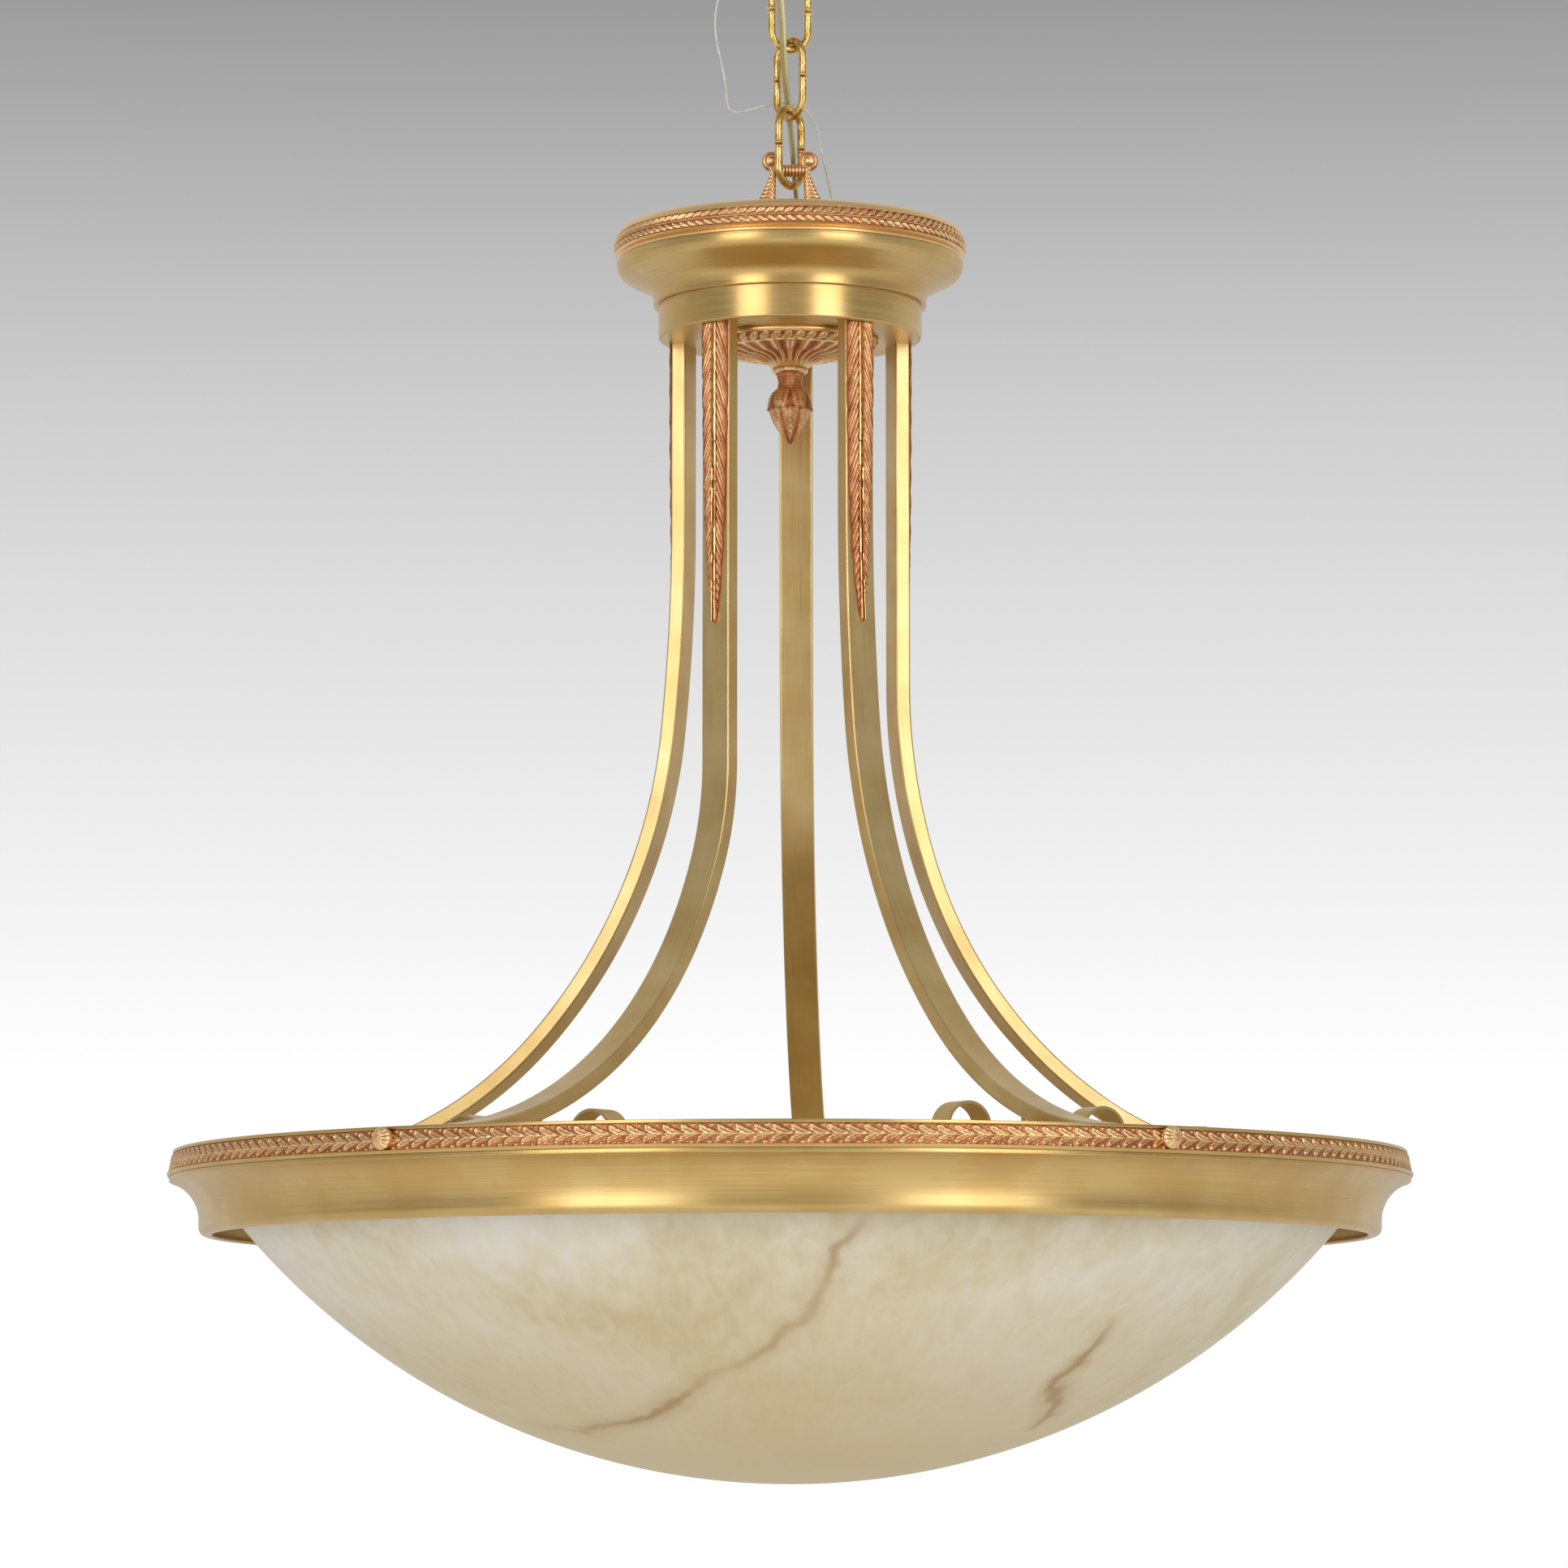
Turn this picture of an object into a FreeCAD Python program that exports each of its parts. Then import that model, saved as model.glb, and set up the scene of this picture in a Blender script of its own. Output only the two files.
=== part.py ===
"""Alabaster bowl pendant, in millimetres.

The origin is the middle of the ceiling fitting, on the ceiling's surface. +Z points up, so the pendant
hangs at negative heights, and -Y is its front. A chain carries a turned crown, five flat bars flare from
the crown to a wide rim, and the rim carries a shallow alabaster bowl with ten lamps above it.
"""
import FreeCAD, Part
import math
import os

V = FreeCAD.Vector
UP = V(0, 0, 1)

# Ceiling fitting
CANOPY_R = 65.0
CANOPY_DEPTH = 36.0
CANOPY_WALL = 1.2
CANOPY_FLAT_R = 22.0
CROSSBAR_LENGTH = 106.0
CROSSBAR_WIDTH = 16.0
CROSSBAR_T = 2.0
CEILING_SCREW_SPACING = 88.9
CEILING_SCREW_HOLE_R = 2.25
NIPPLE_R = 4.8
NIPPLE_BORE_R = 3.3
NIPPLE_IN_HUB = 5.0
NUT_ACROSS = 16.0
NUT_T = 3.0
COLLAR_R = 15.0
COLLAR_T = 5.0
HUB_R = 9.5
HUB_T = 11.0
HUB_BORE_R = 4.2
LOOP_R = 11.5
LOOP_WIRE = 6.5
LOOP_DROP = 22.6
LOOP_TURN = 102.0

# Chain: three oval links, each with a knuckle halfway down both strands
LINK_LENGTH = 57.5
LINK_WIDTH = 30.0
LINK_WIRE = 5.5
LINK_TURNS = {"chain_link_top": 12.0, "chain_link_middle": -46.0, "chain_link_bottom": 52.0}
LINK_GAP = 0.3
KNUCKLE_R = 3.3
KNUCKLE_LENGTH = 4.0

# Yoke on top of the crown
YOKE_BAR_R = 4.3
YOKE_HEIGHT = 43.0
YOKE_DEPTH = 8.0
YOKE_FOOT_T = 5.0
YOKE_FOOT_DEPTH = 24.0
YOKE_FOOT_HALF = 38.0
YOKE_LEG_DEPTH = 12.0
VOLUTE_R = 6.4
VOLUTE_X = 12.2
VOLUTE_RISE = 6.2

# Crown: heights are above its flat underside
CROWN_BAND_R = 87.4
CROWN_BAND_H = 22.1
CROWN_NECK_STEP = 3.2
CROWN_SHEET = 1.6
CROWN_LIP_H = 50.5
CROWN_FLARE = 24.5
CROWN_ORNAMENT_STEP = 1.9
CROWN_H = 73.0
CROWN_PLATE_INSET = 13.2
CROWN_PLATE_T = 3.0
CROWN_PLATE_SINK = 2.0
BASE_PLATE_T = 4.0
TUBE_R = 5.0
TUBE_BORE_R = 3.4
CORD_HOLE_X = 4.0
CORD_HOLE_Y = 18.0
BUSHING_R = 5.0
GROUND_X = 30.0
GROUND_Y = 20.0

# Rosette and acorn under the crown: depths are below its underside
ROSETTE_INSET = 12.2
ROSETTE_DEPTH = 19.4
NECK_R = 8.6
NECK_END = 33.0
ACORN_R = 15.2
ACORN_TIP = 70.0

# Arms: five flared rectangular tubes
# Bent by hand: each bar is turned a little from its even place, and two keep straight for longer.
ARM_COUNT = 5
ARM_TURNS = (-1.5, -0.5, -3.2, -1.5, -1.5)
ARM_WIDTH = 22.0
ARM_DEPTH = 10.0
ARM_WALL = 1.2
ARM_TOP_INSET = 12.2
ARM_STRAIGHT = 121.0
ARM_PLAIN_BENDS = ((1330.0, 6.0), (345.0, 38.6), (253.0, 38.4))
ARM_BENDS = (
    ARM_PLAIN_BENDS, ((380.0, 18.5), (294.0, 40.0), (201.0, 24.5)), ARM_PLAIN_BENDS, ARM_PLAIN_BENDS,
    ((180.0, 19.7), (286.0, 38.8), (307.0, 24.5)),
)
ARM_END_GAP = 0.3
ARM_SCREW_R = 2.5
PLUG_LENGTH = 18.0
PLUG_FIT = 0.1
LEAF_LENGTH = 190.0
LEAF_WIDTH = 22.0
LEAF_T = 3.0
LEAF_LOBES = 9
LEAF_GAP = 0.1

# Rim: depths are below its top edge
RIM_R = 402.5
RIM_LIP_WIDTH = 5.0
RIM_LIP = 2.2
RIM_BAND_BOTTOM = 14.6
RIM_BAND_FLARE = 2.4
RIM_BAND_RECESS = 1.5
RIM_BAND_FIT = 0.15
RIM_BAND_T = 2.0
RIM_FILLET_STEP = 4.0
RIM_TOP_H = 17.0
RIM_FLANGE_INSET = 16.5
RIM_STUD_DEPTH = 7.52
SKIRT_SHEET = 2.0
SKIRT_TOP_STEP = 2.3
SKIRT_WAIST_INSET = 17.0
SKIRT_WAIST = 44.0
SKIRT_H = 54.7
SKIRT_LIP_INSET = 25.7
KNOB_R = 6.9
KNOB_T = 6.0
STUD_R = 2.5
STUD_HOLE_R = 2.7

# Bowl and what it sits on
BOWL_WALL = 10.0
BOWL_DEPTH = 215.0
BOWL_EDGE_FIT = 2.5
BOWL_MOUTH_FIT = 0.8
BOWL_FLANGE_TOP = 22.0
BOWL_FLANGE_T = 8.0
GASKET_T = 1.5
SEAT_SHEET = 2.0
SEAT_LEDGE = 10.0
SEAT_SCREW_STEP = 5.5
SEAT_SCREWS = 10
SEAT_SCREW_R = 2.0

# Lamps: two on a bent strap under each arm
LAMP_INSET = 111.5
LAMP_SPREAD = 53.0
STRAP_WIDTH = 18.0
STRAP_T = 1.8
STRAP_DEPTH = 3.9
STRAP_DROPS = (0.0, 0.0, 0.0, 0.0, 4.6)
HOLDER_GAP = 6.1
ARCH_R = 16.0
POST_R = 5.0
POST_SCREW_R = 2.8
HOLDER_R = 10.5
HOLDER_LENGTH = 32.0
HOLDER_STUD_R = 2.0
SOCKET_R = 6.2
BULB_BASE_R = 5.9
BULB_R = 17.0
BULB_LENGTH = 62.4

# Cords, points from the ceiling down to the crown
SUPPLY_CORD = 4.4
SUPPLY_ROUTE = (
    (0, 0, -48), (-0.7, -0.9, -57), (-5.4, -7.6, -67.5), (-6.8, -9.2, -85), (-4.9, -8.0, -104),
    (-4.5, -7.0, -121), (-3.6, -1.4, -139), (-1.8, 6.4, -154), (-0.3, 10.2, -168),
    (1.4, 12.0, -184), (2.6, 14.2, -202), (4.3, 17.0, -220), (4.2, 18.1, -237), (4, 18, -251),
)
EARTH_WIRE = 1.3
EARTH_ROUTE = (
    (-18.5, 6, -31), (-19, 6, -42), (-25, 6.6, -55), (-37, 7.6, -67), (-46.4, 9, -81), (-50.6, 10, -98),
    (-49.4, 10, -115), (-45.6, 11, -131), (-42.8, 12, -146), (-42.2, 12, -158), (-38.6, 13, -164),
    (-29, 15, -162), (-17, 17, -158), (-3, 18, -155.6), (9, 18, -158.5), (16.5, 18, -167.5),
    (19.6, 18, -181), (22.6, 19, -196), (26.5, 20.5, -212), (29.5, 21, -229), (30, 20.4, -244.4),
)
# A span ends in the middle of the run that starts at each of these points.
SUPPLY_CUTS = (3, 6, 9)
EARTH_CUTS = (4, 8, 15)

# Heights that follow from the sizes above
HUB_TOP = -CANOPY_DEPTH - COLLAR_T
LOOP_Z = HUB_TOP - LOOP_DROP
LOOP_WIRE_Z = LOOP_Z - LOOP_R
LINK_TOP = LOOP_WIRE_Z + LOOP_WIRE / 2 + LINK_GAP + LINK_WIRE
LINK_PITCH = LINK_LENGTH - 2 * LINK_WIRE - LINK_GAP
CHAIN_BOTTOM = LINK_TOP - LINK_LENGTH - (len(LINK_TURNS) - 1) * LINK_PITCH
YOKE_BAR_Z = CHAIN_BOTTOM + LINK_WIRE + LINK_GAP + YOKE_BAR_R
CROWN_PLATE_Z = YOKE_BAR_Z - YOKE_HEIGHT
CROWN_PLATE_TOP = CROWN_H - CROWN_PLATE_SINK
CROWN_Z = CROWN_PLATE_Z - CROWN_PLATE_TOP

# Radii of crown and rim that follow from the sizes above
CROWN_NECK_R = CROWN_BAND_R + CROWN_NECK_STEP
CROWN_LIP_R = CROWN_NECK_R + CROWN_FLARE
CROWN_ORNAMENT_R = CROWN_LIP_R + CROWN_ORNAMENT_STEP
CROWN_PLATE_R = CROWN_ORNAMENT_R - CROWN_PLATE_INSET
ARM_TOP_R = CROWN_BAND_R - ARM_TOP_INSET
ROSETTE_R = ARM_TOP_R - ARM_DEPTH / 2 - ROSETTE_INSET
RIM_INNER_R = RIM_R - RIM_LIP_WIDTH
RIM_RECESS_R = RIM_R - RIM_BAND_RECESS
RIM_FILLET_R = RIM_R + RIM_FILLET_STEP
RIM_FLANGE_R = RIM_R - RIM_FLANGE_INSET
SKIRT_TOP_R = RIM_R + SKIRT_TOP_STEP
SKIRT_WAIST_R = RIM_R - SKIRT_WAIST_INSET
SKIRT_LIP_R = RIM_R - SKIRT_LIP_INSET
SEAT_COLLAR_R = SKIRT_WAIST_R
SEAT_SCREW_RING_R = SEAT_COLLAR_R + SEAT_SCREW_STEP
SEAT_INNER_R = SEAT_COLLAR_R - SEAT_SHEET - SEAT_LEDGE
BOWL_FLANGE_R = SEAT_COLLAR_R - SEAT_SHEET - BOWL_EDGE_FIT
LAMP_RING_R = SEAT_INNER_R - LAMP_INSET


def drop(bends):
    """How far an arm's centre line comes down from its first bend to its end at the rim."""
    x, down, heading = ARM_TOP_R, 0.0, 0.0
    for radius, angle in bends:
        turned = heading + math.radians(angle)
        x += radius * (math.cos(heading) - math.cos(turned))
        down += radius * (math.sin(turned) - math.sin(heading))
        heading = turned
    return down + (ARM_END_R - x) / math.tan(heading)


# The rim hangs at the arms' ends, and the bowl and the lamps at the rim. All arms end at one height.
ARM_END_R = RIM_INNER_R - ARM_END_GAP
ARM_END_Z = CROWN_Z - ARM_STRAIGHT - drop(ARM_PLAIN_BENDS)
ARM_STRAIGHTS = [CROWN_Z - ARM_END_Z - drop(bends) for bends in ARM_BENDS]
RIM_Z = ARM_END_Z + RIM_STUD_DEPTH
BOWL_SEAT = BOWL_FLANGE_TOP + BOWL_FLANGE_T
SEAT_TOP = BOWL_SEAT + GASKET_T
BOWL_RISE = BOWL_DEPTH - BOWL_SEAT
BOWL_RADIUS = ((SEAT_INNER_R - BOWL_MOUTH_FIT) ** 2 + BOWL_RISE ** 2) / (2 * BOWL_RISE)
BOWL_CENTRE = RIM_Z - BOWL_DEPTH + BOWL_RADIUS
STRAP_Z = RIM_Z - STRAP_DEPTH
HOLDER_TOP = STRAP_Z - STRAP_T / 2 - HOLDER_GAP


def line(start, end):
    return Part.makeLine(V(*start), V(*end))


def arc(start, middle, end):
    return Part.Arc(V(*start), V(*middle), V(*end)).toShape()


def lathe(base, outline):
    """A turned solid. The outline's corners are (radius, height above base); a pair of them is an arc."""
    edges = []
    last = outline[0]
    for step in outline[1:] + outline[:1]:
        middle, end = step if isinstance(step[0], tuple) else (None, step)
        a, b = (last[0], 0, base + last[1]), (end[0], 0, base + end[1])
        edges.append(arc(a, (middle[0], 0, base + middle[1]), b) if middle else line(a, b))
        last = end
    return Part.Face(Part.Wire(edges)).revolve(V(0, 0, 0), UP, 360)


def level_arc(start, end):
    """The middle of the arc between two corners that lies level at the second one."""
    across, up = start[0] - end[0], start[1] - end[1]
    radius = (across ** 2 + up ** 2) / (2 * up)
    half = math.atan2(across, radius - up) / 2
    return (end[0] + radius * math.sin(half), end[1] + radius * (1 - math.cos(half)))


def disc(radius, low, high, x=0.0, y=0.0):
    return Part.makeCylinder(radius, high - low, V(x, y, low))


def tube(outer, inner, low, high):
    return disc(outer, low, high).cut(disc(inner, low - 1, high + 1))


def hexagon(across, low, high, x=0.0, y=0.0):
    corners = [V(x, y, low) + V(math.cos(a), math.sin(a)) * across / math.sqrt(3)
               for a in (math.pi / 3 * k for k in range(6))]
    return Part.Face(Part.makePolygon(corners + corners[:1])).extrude(UP * (high - low))


def block(x, y, z):
    """A box from three (low, high) pairs."""
    return Part.makeBox(x[1] - x[0], y[1] - y[0], z[1] - z[0], V(x[0], y[0], z[0]))


def around(shape, azimuth):
    """A copy of a piece modelled along +X, turned so that it points at an azimuth from the front."""
    copy = shape.copy()
    copy.rotate(V(0, 0, 0), UP, azimuth - 90)
    return copy


ARM_AZIMUTHS = [360 / ARM_COUNT * (k + 0.5) + turn for k, turn in enumerate(ARM_TURNS)]


def at_arms(shape):
    return Part.makeCompound([around(shape, azimuth) for azimuth in ARM_AZIMUTHS])


def beside(start, heading, steps, offset):
    """The edges and the two ends of a curve that runs beside a path in the XZ plane.

    A step is a length of straight run, or a (radius, angle) bend, whose angle is positive to the left.
    The curve lies offset to the path's left.
    """
    x, z = start
    heading = math.radians(heading)

    def point():
        return (x - offset * math.sin(heading), 0, z + offset * math.cos(heading))

    edges = []
    first = point()
    for step in steps:
        here = point()
        if isinstance(step, tuple):
            radius, angle = step[0], math.radians(step[1])
            radius = math.copysign(radius, angle)
            cx, cz = x - radius * math.sin(heading), z + radius * math.cos(heading)
            heading += angle / 2
            x, z = cx + radius * math.sin(heading), cz - radius * math.cos(heading)
            middle = point()
            heading += angle / 2
            x, z = cx + radius * math.sin(heading), cz - radius * math.cos(heading)
            edges.append(arc(here, middle, point()))
        else:
            x, z = x + step * math.cos(heading), z + step * math.sin(heading)
            edges.append(line(here, point()))
    return edges, first, point()


def strip(start, heading, steps, near, far):
    """The flat face between two curves beside one path."""
    low, low_start, low_end = beside(start, heading, steps, near)
    high, high_start, high_end = beside(start, heading, steps, far)
    edges = low + high + [line(low_start, high_start), line(low_end, high_end)]
    return Part.Face(Part.Wire(Part.sortEdges(edges)[0]))


def across(face, width, middle=0.0):
    """A face of the XZ plane made into a plate of the given width along Y."""
    face = face.copy()
    face.translate(V(0, middle - width / 2, 0))
    return face.extrude(V(0, width, 0))


# Ceiling fitting -------------------------------------------------------------------------------------

def canopy():
    """Spun dish that covers the outlet box, open at the ceiling."""
    d, r, w, f = CANOPY_DEPTH, CANOPY_R, CANOPY_WALL, CANOPY_FLAT_R
    bulge, hip = (r - 5, -0.45 * d), (r - 20, -0.62 * d)
    inner_hip = (hip[0] - 0.3 * w, hip[1] + w)
    dish = lathe(0, [
        (r, 0), (r, -4), (bulge, hip), (level_arc(hip, (f, -d)), (f, -d)), (NIPPLE_R + 0.2, -d),
        (NIPPLE_R + 0.2, w - d), (f, w - d), (level_arc(inner_hip, (f, w - d)), inner_hip),
        ((bulge[0] - w, bulge[1] + 0.5 * w), (r - w, -4)), (r - w, 0),
    ])
    x, y = EARTH_ROUTE[0][:2]
    return dish.cut(disc(EARTH_WIRE / 2 + 0.4, -d - 5, 0, x, y))


def canopy_crossbar():
    """Steel strap that screws to the outlet box."""
    half = CROSSBAR_LENGTH / 2
    bar = block((-half, half), (-CROSSBAR_WIDTH / 2, CROSSBAR_WIDTH / 2), (-CROSSBAR_T, 0))
    for x in (-CEILING_SCREW_SPACING / 2, CEILING_SCREW_SPACING / 2):
        bar = bar.cut(disc(CEILING_SCREW_HOLE_R, -9, 9, x))
    return bar.cut(disc(NIPPLE_R + 0.05, -9, 9))


def canopy_nipple():
    return tube(NIPPLE_R, NIPPLE_BORE_R, HUB_TOP - NIPPLE_IN_HUB, -0.2)


def canopy_nuts():
    """One nut under the crossbar, one on the floor of the canopy."""
    tops = (-CROSSBAR_T, -CANOPY_DEPTH + CANOPY_WALL + NUT_T)
    bore = disc(NIPPLE_R + 0.05, -CANOPY_DEPTH, 0)
    return Part.makeCompound([hexagon(NUT_ACROSS, top - NUT_T, top).cut(bore) for top in tops])


def loop_collar():
    c = COLLAR_T
    return lathe(HUB_TOP, [
        (NIPPLE_R + 0.05, 0), (COLLAR_R - c / 2, 0), ((COLLAR_R, c / 2), (COLLAR_R - c / 2, c)),
        (NIPPLE_R + 0.05, c),
    ])


def canopy_loop():
    """Cast hub and ring; the nipple screws in from above and the cord leaves through the ring."""
    ring = Part.makeTorus(LOOP_R, LOOP_WIRE / 2, V(0, 0, 0), V(0, 1, 0))
    ring.translate(V(0, 0, LOOP_Z))
    ring.rotate(V(0, 0, 0), UP, LOOP_TURN)
    hub = disc(HUB_R, HUB_TOP - HUB_T, HUB_TOP)
    skirt = Part.makeCone(LOOP_WIRE / 2 + 2.2, HUB_R, 4, V(0, 0, HUB_TOP - HUB_T - 4))
    body = hub.fuse([skirt, ring]).removeSplitter()
    body = body.cut(disc(NIPPLE_R + 0.05, HUB_TOP - NIPPLE_IN_HUB - 0.3, HUB_TOP + 1))
    return body.cut(disc(HUB_BORE_R, LOOP_Z, HUB_TOP + 1))


# Chain -----------------------------------------------------------------------------------------------

def chain_link(top, turn):
    """One oval link with its top at a height, and its plane turned from the XZ plane."""
    bend = (LINK_WIDTH - LINK_WIRE) / 2
    high = top - LINK_WIRE / 2 - bend
    low = high - (LINK_LENGTH - LINK_WIDTH)
    radius = LINK_WIRE / 2
    path = Part.Wire([
        line((-bend, 0, low), (-bend, 0, high)),
        arc((-bend, 0, high), (0, 0, high + bend), (bend, 0, high)),
        line((bend, 0, high), (bend, 0, low)),
        arc((bend, 0, low), (0, 0, low - bend), (-bend, 0, low)),
    ])
    section = Part.Wire(Part.makeCircle(radius, V(-bend, 0, low), UP))
    link = path.makePipeShell([section], True, False)
    middle = (low + high) / 2
    for x in (-bend, bend):
        link = link.fuse(disc(KNUCKLE_R, middle - KNUCKLE_LENGTH / 2, middle + KNUCKLE_LENGTH / 2, x))
    link.rotate(V(0, 0, 0), UP, turn)
    return link


# Yoke ------------------------------------------------------------------------------------------------

def yoke():
    """Cast hanger: two flared legs on an oblong foot, a bar for the chain and a volute at each end."""
    base = CROWN_PLATE_Z + YOKE_FOOT_T
    bar = YOKE_BAR_Z
    legs = []
    for s in (-1, 1):
        outline = [
            line((s * 9.2, 0, bar), (s * 9.2, 0, base + 16)),
            arc((s * 9.2, 0, base + 16), (s * 11.6, 0, base + 5), (s * 21, 0, base - 1)),
            line((s * 21, 0, base - 1), (s * 35, 0, base - 1)),
            arc((s * 35, 0, base - 1), (s * 22, 0, base + 17), (s * 13.4, 0, bar - 2)),
            line((s * 13.4, 0, bar - 2), (s * 15, 0, bar + 3)),
            line((s * 15, 0, bar + 3), (s * 6, 0, bar + 5)),
            line((s * 6, 0, bar + 5), (s * 6, 0, bar)),
            line((s * 6, 0, bar), (s * 9.2, 0, bar)),
        ]
        face = Part.Face(Part.Wire(Part.sortEdges(outline)[0]))
        leg = across(face, YOKE_DEPTH)
        thick = across(face, YOKE_LEG_DEPTH)
        legs.append(leg.fuse(thick.common(block((-90, 90), (-20, 20), (base - 9, base + 19)))))
        volute = Part.makeCylinder(VOLUTE_R, YOKE_DEPTH, V(s * VOLUTE_X, -YOKE_DEPTH / 2, bar + VOLUTE_RISE),
                                   V(0, 1, 0))
        eye = Part.makeCylinder(2.2, YOKE_DEPTH + 1.6, V(s * VOLUTE_X, -YOKE_DEPTH / 2 - 0.8,
                                                         bar + VOLUTE_RISE), V(0, 1, 0))
        legs.append(volute.fuse(eye))
    rod = Part.makeCylinder(YOKE_BAR_R, 22, V(-11, 0, bar), V(1, 0, 0))
    foot = block((-YOKE_FOOT_HALF, YOKE_FOOT_HALF), (-YOKE_FOOT_DEPTH / 2, YOKE_FOOT_DEPTH / 2),
                 (CROWN_PLATE_Z, base))
    foot = foot.common(disc(YOKE_FOOT_HALF, CROWN_PLATE_Z, base))
    body = rod.fuse(legs + [foot]).removeSplitter()
    return body.cut(disc(TUBE_R + 0.05, CROWN_PLATE_Z - 1, base + 1))


# Crown -----------------------------------------------------------------------------------------------

def crown_top_plate():
    low, high = CROWN_PLATE_Z - CROWN_PLATE_T, CROWN_PLATE_Z
    plate = disc(CROWN_PLATE_R, low, high).cut(disc(TUBE_R + 0.2, low - 1, high + 1))
    plate = plate.cut(disc(BUSHING_R, low - 1, high + 1, CORD_HOLE_X, CORD_HOLE_Y))
    return plate.cut(disc(1.7, low - 1, high + 1, GROUND_X, GROUND_Y))


def crown_ornament_ring():
    """Cast laurel ring; the top plate lies in its rebate and it stands on the cavetto."""
    low = CROWN_LIP_H + CROWN_SHEET
    ledge = CROWN_PLATE_TOP - CROWN_PLATE_T
    r, h = CROWN_ORNAMENT_R, CROWN_H
    return lathe(CROWN_Z, [
        (CROWN_PLATE_R - 4, low), (r - 4, low), ((r - 2.7, low + 1.3), (r - 4, low + 2.6)),
        (r - 0.7, low + 4), ((r, low + 10), (r - 2.2, low + 16.2)), ((r - 4.2, h - 1.2), (r - 7.5, h)),
        (CROWN_PLATE_R + 0.2, h), (CROWN_PLATE_R + 0.2, ledge), (CROWN_PLATE_R - 4, ledge),
    ])


def crown_cavetto():
    """Spun shell from the band's ledge out to the lip."""
    start = (CROWN_NECK_R, CROWN_Z + CROWN_BAND_H)
    bend, lean = 10.0, 64.0
    rise = CROWN_LIP_H - CROWN_BAND_H - 3.1
    reach = CROWN_LIP_R - CROWN_NECK_R
    lip = bend - 1
    straight = (reach - (bend + lip) * (1 - math.cos(math.radians(lean)))) / math.sin(math.radians(lean))
    up = rise - (bend + lip) * math.sin(math.radians(lean)) - straight * math.cos(math.radians(lean))
    steps = [3.1 + up - 1.5, (bend, -lean), straight, (lip, lean), 1.5]
    sheet = strip(start, 90, steps, 0, CROWN_SHEET).revolve(V(0, 0, 0), UP, 360)
    foot = tube(CROWN_NECK_R - 0.3, CROWN_BAND_R - 8, CROWN_Z + CROWN_BAND_H,
                CROWN_Z + CROWN_BAND_H + CROWN_SHEET)
    top = tube(CROWN_LIP_R - 1.4, CROWN_PLATE_R - 4, CROWN_Z + CROWN_LIP_H - 0.2,
               CROWN_Z + CROWN_LIP_H + CROWN_SHEET)
    return sheet.fuse([foot, top])


def crown_band():
    """Plain cylindrical band with its lower edge rounded over and a flange at the top."""
    r, h, t = CROWN_BAND_R, CROWN_BAND_H, CROWN_SHEET
    return lathe(CROWN_Z, [
        (r - t, 0), ((r - 0.47, 0.47), (r, t)), (r, h), (r - 8, h),
        (r - 8, h - t), (r - t, h - t),
    ])


def crown_base_plate():
    """Flat plate that closes the crown; the arms are screwed up against it."""
    low, high = CROWN_Z, CROWN_Z + BASE_PLATE_T
    plate = disc(CROWN_BAND_R - CROWN_SHEET - 0.1, low, high).cut(disc(TUBE_R + 0.2, low - 1, high + 1))
    for azimuth in ARM_AZIMUTHS:
        plate = plate.cut(around(disc(ARM_SCREW_R + 0.2, low - 1, high + 1, ARM_TOP_R), azimuth))
    return plate


def crown_tube():
    """Threaded tube that ties yoke, crown, rosette and acorn together."""
    return tube(TUBE_R, TUBE_BORE_R, CROWN_Z - NECK_END - 9, CROWN_PLATE_Z + YOKE_FOOT_T - 0.5)


def crown_nuts():
    tops = (CROWN_PLATE_Z - CROWN_PLATE_T, CROWN_Z + BASE_PLATE_T + NUT_T)
    bore = disc(TUBE_R + 0.05, CROWN_Z, CROWN_PLATE_Z)
    return Part.makeCompound([hexagon(NUT_ACROSS, top - NUT_T, top).cut(bore) for top in tops])


def cord_bushing():
    """Insulating bush in the top plate, a flange above and a barrel through the hole."""
    top = CROWN_PLATE_Z
    bush = disc(BUSHING_R - 0.1, top - CROWN_PLATE_T - 2, top).fuse(disc(BUSHING_R + 0.9, top, top + 1.2))
    bush.translate(V(CORD_HOLE_X, CORD_HOLE_Y, 0))
    return bush.cut(disc(SUPPLY_CORD / 2 + 0.4, top - 9, top + 5, CORD_HOLE_X, CORD_HOLE_Y))


def ground_screw():
    """Screw in the top plate that holds the earth wire."""
    top = CROWN_PLATE_Z
    shank = disc(1.6, top - CROWN_PLATE_T - 3, top, GROUND_X, GROUND_Y)
    return shank.fuse(disc(3.6, top, top + 2.2, GROUND_X, GROUND_Y)).removeSplitter()


def terminal_block():
    """Connector block on the crown's floor, where the cord meets the lamp leads."""
    low = CROWN_Z + BASE_PLATE_T
    body = block((-44, -20), (-8, 8), (low, low + 11))
    for x in (-38, -32, -26):
        body = body.cut(disc(1.6, low + 4, low + 12, x, -3)).cut(disc(1.6, low + 4, low + 12, x, 3))
    return body


def arm_top_screws():
    floor = CROWN_Z + BASE_PLATE_T
    shank = disc(ARM_SCREW_R - 0.05, CROWN_Z - PLUG_LENGTH + 3, floor, ARM_TOP_R)
    return at_arms(shank.fuse(disc(4.2, floor, floor + 4.5, ARM_TOP_R)).removeSplitter())


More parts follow.
